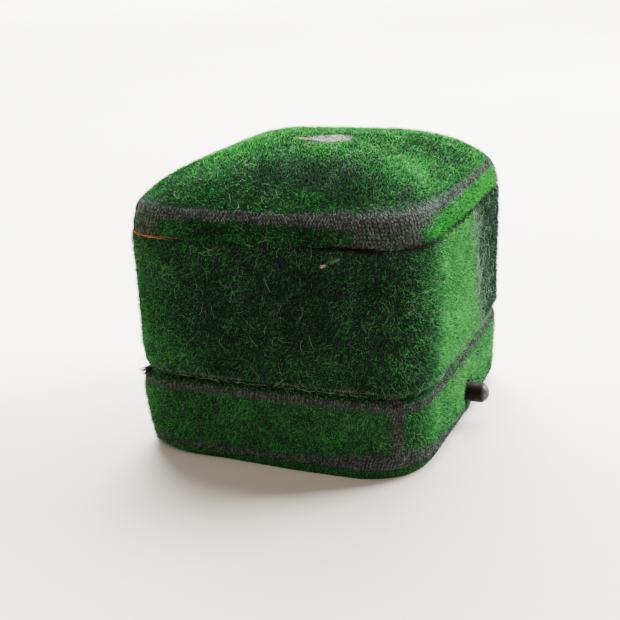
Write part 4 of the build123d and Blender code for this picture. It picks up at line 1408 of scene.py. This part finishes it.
def metal(name, bright, dull, amount, size, roughness_gain=0.0, relief=0.01):
    """A handled metal: bright where rubbed, dull elsewhere."""
    material, tree, shader = new_material(name, metallic=1.0)
    values = {"Bright": (*bright, 1), "Dull": (*dull, 1), "Amount": amount, "Size": size}
    surface = use_group(tree, metal_group, {"Place": coordinates(tree), **values})
    rough = plus(tree, surface["Roughness"], roughness_gain, clamp=True)
    tree.links.new(rough, shader.inputs["Roughness"])
    wire_surface(shader, tree, surface, 0.5, relief)
    return material


def dress(material, *nodes):
    """Give CAD nodes a material."""
    for node in nodes:
        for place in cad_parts[node].material_slots:
            place.link = "OBJECT"
            place.material = material


nails = [f"hinge_{side}_nail_{i}" for side in ("base", "lid") for i in (1, 2, 3)]
aged_brass = metal("aged brass", (0.27, 0.175, 0.070), (0.075, 0.046, 0.020), 0.20, 700.0)
# Painted shade: the rim plates sit in the parting gap, so both their colours are far darker than the other
# brass.
rim_brass_in_painted_shade = metal("tarnished rim brass", (0.050, 0.034, 0.019), (0.017, 0.012, 0.0085), 0.14, 260.0, 0.14)
dark_steel = metal("dark spring steel", (0.22, 0.22, 0.23), (0.055, 0.055, 0.062), 0.24, 900.0)
button_bronze = metal("bronzed button", (0.11, 0.042, 0.020), (0.013, 0.011, 0.0105), 0.05, 1300.0,
                      roughness_gain=0.02, relief=0.02)
button_end = metal("dull pin end", (0.060, 0.056, 0.055), (0.022, 0.020, 0.020), 0.30, 1500.0, 0.06)
dress(aged_brass, "hinge_base_leaf", "hinge_lid_leaf", "button_bush", "spring_block", "spring_rivet",
      "striker", "striker_rivet_1", "striker_rivet_2", *nails)
dress(rim_brass_in_painted_shade, "base_rim_plate", "lid_rim_plate")
dress(dark_steel, "hinge_pin", "catch_hook")
dress(button_bronze, "button_barrel")
dress(button_end, "button_plunger")
print("metals", [m.name for m in (aged_brass, rim_brass_in_painted_shade, dark_steel, button_bronze, button_end)])

# %% [markdown]
# Inside, the shell is plain softwood, the pads stand on grey board, and the collar and lid are lined
# with ivory satin. Wood grain runs along the box, so its noise is stretched that way.

# %% Wood, board and satin


def make_weave_group():
    """Fine satin or board surface: slow colour change and fine threads."""
    tree, inside, outside = new_group("fine cloth", "ShaderNodeTree", [
        ("Place", VECTOR, None), ("Light", COLOR, (0.8, 0.7, 0.5, 1)), ("Shade", COLOR, (0.5, 0.4, 0.3, 1)),
        ("Threads", FLOAT, 4200.0), ("Stretch", VECTOR, (1, 1, 0.25))], [("Color", COLOR), ("Height", FLOAT)])
    get = inside.outputs
    stretched = {0: get["Place"], 1: get["Stretch"]}
    drawn = add_node(tree, "ShaderNodeVectorMath", stretched, operation="MULTIPLY").outputs[0]
    fine = noise_value(tree, drawn, get["Threads"])
    slow = noise_value(tree, get["Place"], 160.0, 4.0)
    both = plus(tree, times(tree, fine, 0.45), times(tree, slow, 0.75))
    light = minus(tree, times(tree, both, 1.9), 0.6, clamp=True)
    tree.links.new(mix_color(tree, light, get["Shade"], get["Light"]), outside.inputs["Color"])
    tree.links.new(fine, outside.inputs["Height"])
    return tree


weave_group = make_weave_group()


def cloth_finish(name, light, shade, threads, stretch, relief, **constants):
    """A matt or silky surface from the shared weave."""
    material, tree, shader = new_material(name, **constants)
    values = {"Light": (*light, 1), "Shade": (*shade, 1), "Threads": threads, "Stretch": stretch}
    surface = use_group(tree, weave_group, {"Place": coordinates(tree), **values})
    wire_surface(shader, tree, surface, 0.6, relief)
    return material


satin = cloth_finish("ivory satin", (0.52, 0.44, 0.30), (0.33, 0.26, 0.16), 5200.0, (1, 1, 0.12), 0.03,
                     roughness=0.38, sheen_weight=0.3)
pad_cloth = cloth_finish("ivory pad velvet", (0.50, 0.41, 0.27), (0.27, 0.20, 0.12), 3600.0, (1, 1, 1), 0.10,
                         roughness=0.9, sheen_weight=0.5)
board = cloth_finish("grey board", (0.22, 0.18, 0.13), (0.12, 0.095, 0.07), 2600.0, (1, 1, 1), 0.05,
                     roughness=0.9)
softwood = cloth_finish("plain softwood", (0.34, 0.22, 0.11), (0.17, 0.10, 0.048), 1500.0, (0.12, 0.12, 1),
                        0.05, roughness=0.75)
dress(softwood, "base_tray", "lid_wall", "lid_top_block")
dress(board, "pad_card", "lid_pad_card")
dress(satin, "base_collar", "lid_lining")
print("inside materials", [m.name for m in (satin, pad_cloth, board, softwood)])

# %% [markdown]
# The flat spring behind the button is a strip of steel, fixed at its right end and free at the hook.
# Pressing the button bends it, so it crosses the joint between the base and the hook. It is made as
# a thin strip with many steps along it, because only a strip with steps can bend smoothly.

# %% Flat spring
spring_low, spring_high = (np.array(corner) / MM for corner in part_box("leaf_spring"))
SPRING_STEPS = 48


def make_spring():
    """A long strip with bevelled edges, from the foot to the free end."""
    mesh = bpy.data.meshes.new("flat_spring")
    vertices, faces = [], []
    middle = (spring_low + spring_high) / 2
    _, half_y, half_z = (spring_high - spring_low) / 2
    low_y, low_z = half_y - 0.06, half_z - 0.12
    profile = [(-half_y, -low_z), (-low_y, -half_z), (low_y, -half_z), (half_y, -low_z),
               (half_y, low_z), (low_y, half_z), (-low_y, half_z), (-half_y, low_z)]
    for step in range(SPRING_STEPS + 1):
        share = step / SPRING_STEPS
        x = spring_low[0] + (spring_high[0] - spring_low[0]) * share
        taper = 1 - 0.10 * math.exp(-((share / 0.04) ** 2)) - 0.10 * math.exp(-(((1 - share) / 0.04) ** 2))
        vertices += [(x, middle[1] + y, middle[2] + z * taper) for y, z in profile]
    count = len(profile)
    for step in range(SPRING_STEPS):
        near, far = step * count, (step + 1) * count
        faces += [(near + i, near + (i + 1) % count, far + (i + 1) % count, far + i) for i in range(count)]
    faces += [tuple(range(count))[::-1], tuple(SPRING_STEPS * count + i for i in range(count))]
    mesh.from_pydata((np.array(vertices) * MM).tolist(), [], faces)
    mesh.materials.append(dark_steel)
    work = bmesh.new()
    work.from_mesh(mesh)
    bmesh.ops.recalc_face_normals(work, faces=work.faces)
    work.to_mesh(mesh)
    work.free()
    piece = bpy.data.objects.new("flat_spring", mesh)
    bpy.context.scene.collection.objects.link(piece)
    return piece


flat_spring = make_spring()
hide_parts("leaf_spring")
SPRING_ROOT = (13.4 * MM, -17.6 * MM, BUTTON_Z * MM)
SPRING_FREE = (2.5 * MM, -17.6 * MM, BUTTON_Z * MM)
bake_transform(flat_spring, "base", "catch", start=SPRING_ROOT, end=SPRING_FREE)
print("flat spring", len(flat_spring.data.polygons), "faces")

# %% [markdown]
# The ring stands between two rolls of wadding covered in ivory velvet, and the lid holds a thin
# satin cushion. Stuffed pieces are best made by a cloth simulation: the shape starts a little small
# and is blown up like a balloon. These pads are only as wide as a finger, so the simulation runs on a
# copy twenty-five times as large, where Blender's cloth behaves, and the result is scaled back.

# %% Stuffed pads
PAD_SCALE = 25.0
BLOW_STEPS = 20


def blown(name, source, shrink, voxel, pressure, cap, crown=0.0):
    """A pad blown up by cloth pressure; shrink, cap and crown are in mm on the real pad."""
    work = bmesh.new()
    work.from_mesh(source.data)
    bmesh.ops.remove_doubles(work, verts=work.verts, dist=0.00001)
    low = np.array([min(v.co[a] for v in work.verts) for a in range(3)])
    high = np.array([max(v.co[a] for v in work.verts) for a in range(3)])
    middle, half = Vector((low + high) / 2), (high - low) / 2
    for vertex in work.verts:
        offset = vertex.co - middle
        vertex.co = Vector([offset[a] * (1 - shrink * MM / half[a]) for a in range(3)]) * PAD_SCALE
    mesh = bpy.data.meshes.new(name)
    work.to_mesh(mesh)
    work.free()
    pad = bpy.data.objects.new(name, mesh)
    bpy.context.scene.collection.objects.link(pad)
    remesh = pad.modifiers.new("even", "REMESH")
    remesh.mode = "VOXEL"
    remesh.voxel_size = voxel * MM * PAD_SCALE
    even = bpy.data.meshes.new_from_object(pad.evaluated_get(bpy.context.evaluated_depsgraph_get()))
    pad.modifiers.clear()
    pad.data = even
    rest = np.array([v.co for v in even.vertices])
    share = np.abs(rest[:, :2]) / (half[:2] * PAD_SCALE)
    lower = np.clip(-rest[:, 2] / (half[2] * PAD_SCALE), 0, 1)
    rest[:, 2] += crown * MM * PAD_SCALE * lower * np.clip((share**3).sum(axis=1), 0, 1.3)
    even.vertices.foreach_set("co", rest.astype(np.float32).ravel())
    moved = rest.copy()
    press = pad.modifiers.new("press", "CLOTH")
    press.settings.use_pressure = True
    press.settings.uniform_pressure_force = pressure
    press.settings.effector_weights.gravity = 0
    press.settings.tension_stiffness = press.settings.compression_stiffness = 12
    for step in range(1, BLOW_STEPS + 1):
        bpy.context.scene.frame_set(step)
    blown_up = bpy.data.meshes.new_from_object(pad.evaluated_get(bpy.context.evaluated_depsgraph_get()))
    pad.modifiers.clear()
    bpy.context.scene.frame_set(1)
    moved = np.array([v.co for v in blown_up.vertices])
    shift = moved - rest
    length = np.linalg.norm(shift, axis=1, keepdims=True)
    shift *= np.minimum(1, cap * MM * PAD_SCALE / np.maximum(length, 1e-9))
    final = (rest + shift) / PAD_SCALE + np.array(middle)
    even.vertices.foreach_set("co", final.astype(np.float32).ravel())
    even.shade_smooth()
    even.materials.clear()
    smooth = pad.modifiers.new("smooth", "SUBSURF")
    smooth.levels = smooth.render_levels = 1
    furthest = float(length.max()) / PAD_SCALE / MM
    print(name, "faces", len(even.polygons), "moved up to", round(furthest, 2), "mm")
    return pad


pads = {}
for node, body, slot, material, values in (
        ("ring_pad_front", "base", "pad_velvet", pad_cloth, (0.55, 0.75, 4.0, 0.50)),
        ("ring_pad_back", "base", "pad_velvet", pad_cloth, (0.55, 0.75, 4.0, 0.50)),
        ("lid_satin_pad", "lid", "satin", satin, (0.50, 0.75, 1.0, 0.42, 3.0))):
    pad = blown(node + "_stuffed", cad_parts[node], *values)
    pad.data.materials.append(material)
    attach(pad, body)
    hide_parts(node)
    pads[node] = pad
print("stuffed pads", list(pads))

# %% [markdown]
# The four velvet pieces are cloth: two long strips and two nearly square pieces. All are stretched
# over wood, and carry their pile, worn threads and lint.

# %% Cloth and what it carries
marks = {
    "lid_top_cloth": [split_seam, seam_strands, torn_edge, tear_shadow],
    "lid_side_cloth": [nub, nub_trail],
    "base_side_cloth": [loose_thread],
}
for name, piece in cloth.items():
    stem = name.removesuffix("cloth")
    carried = [p for group in (pile, threads, lint) for key, p in group.items() if key.startswith(stem)]
    carried += marks.get(name, [])
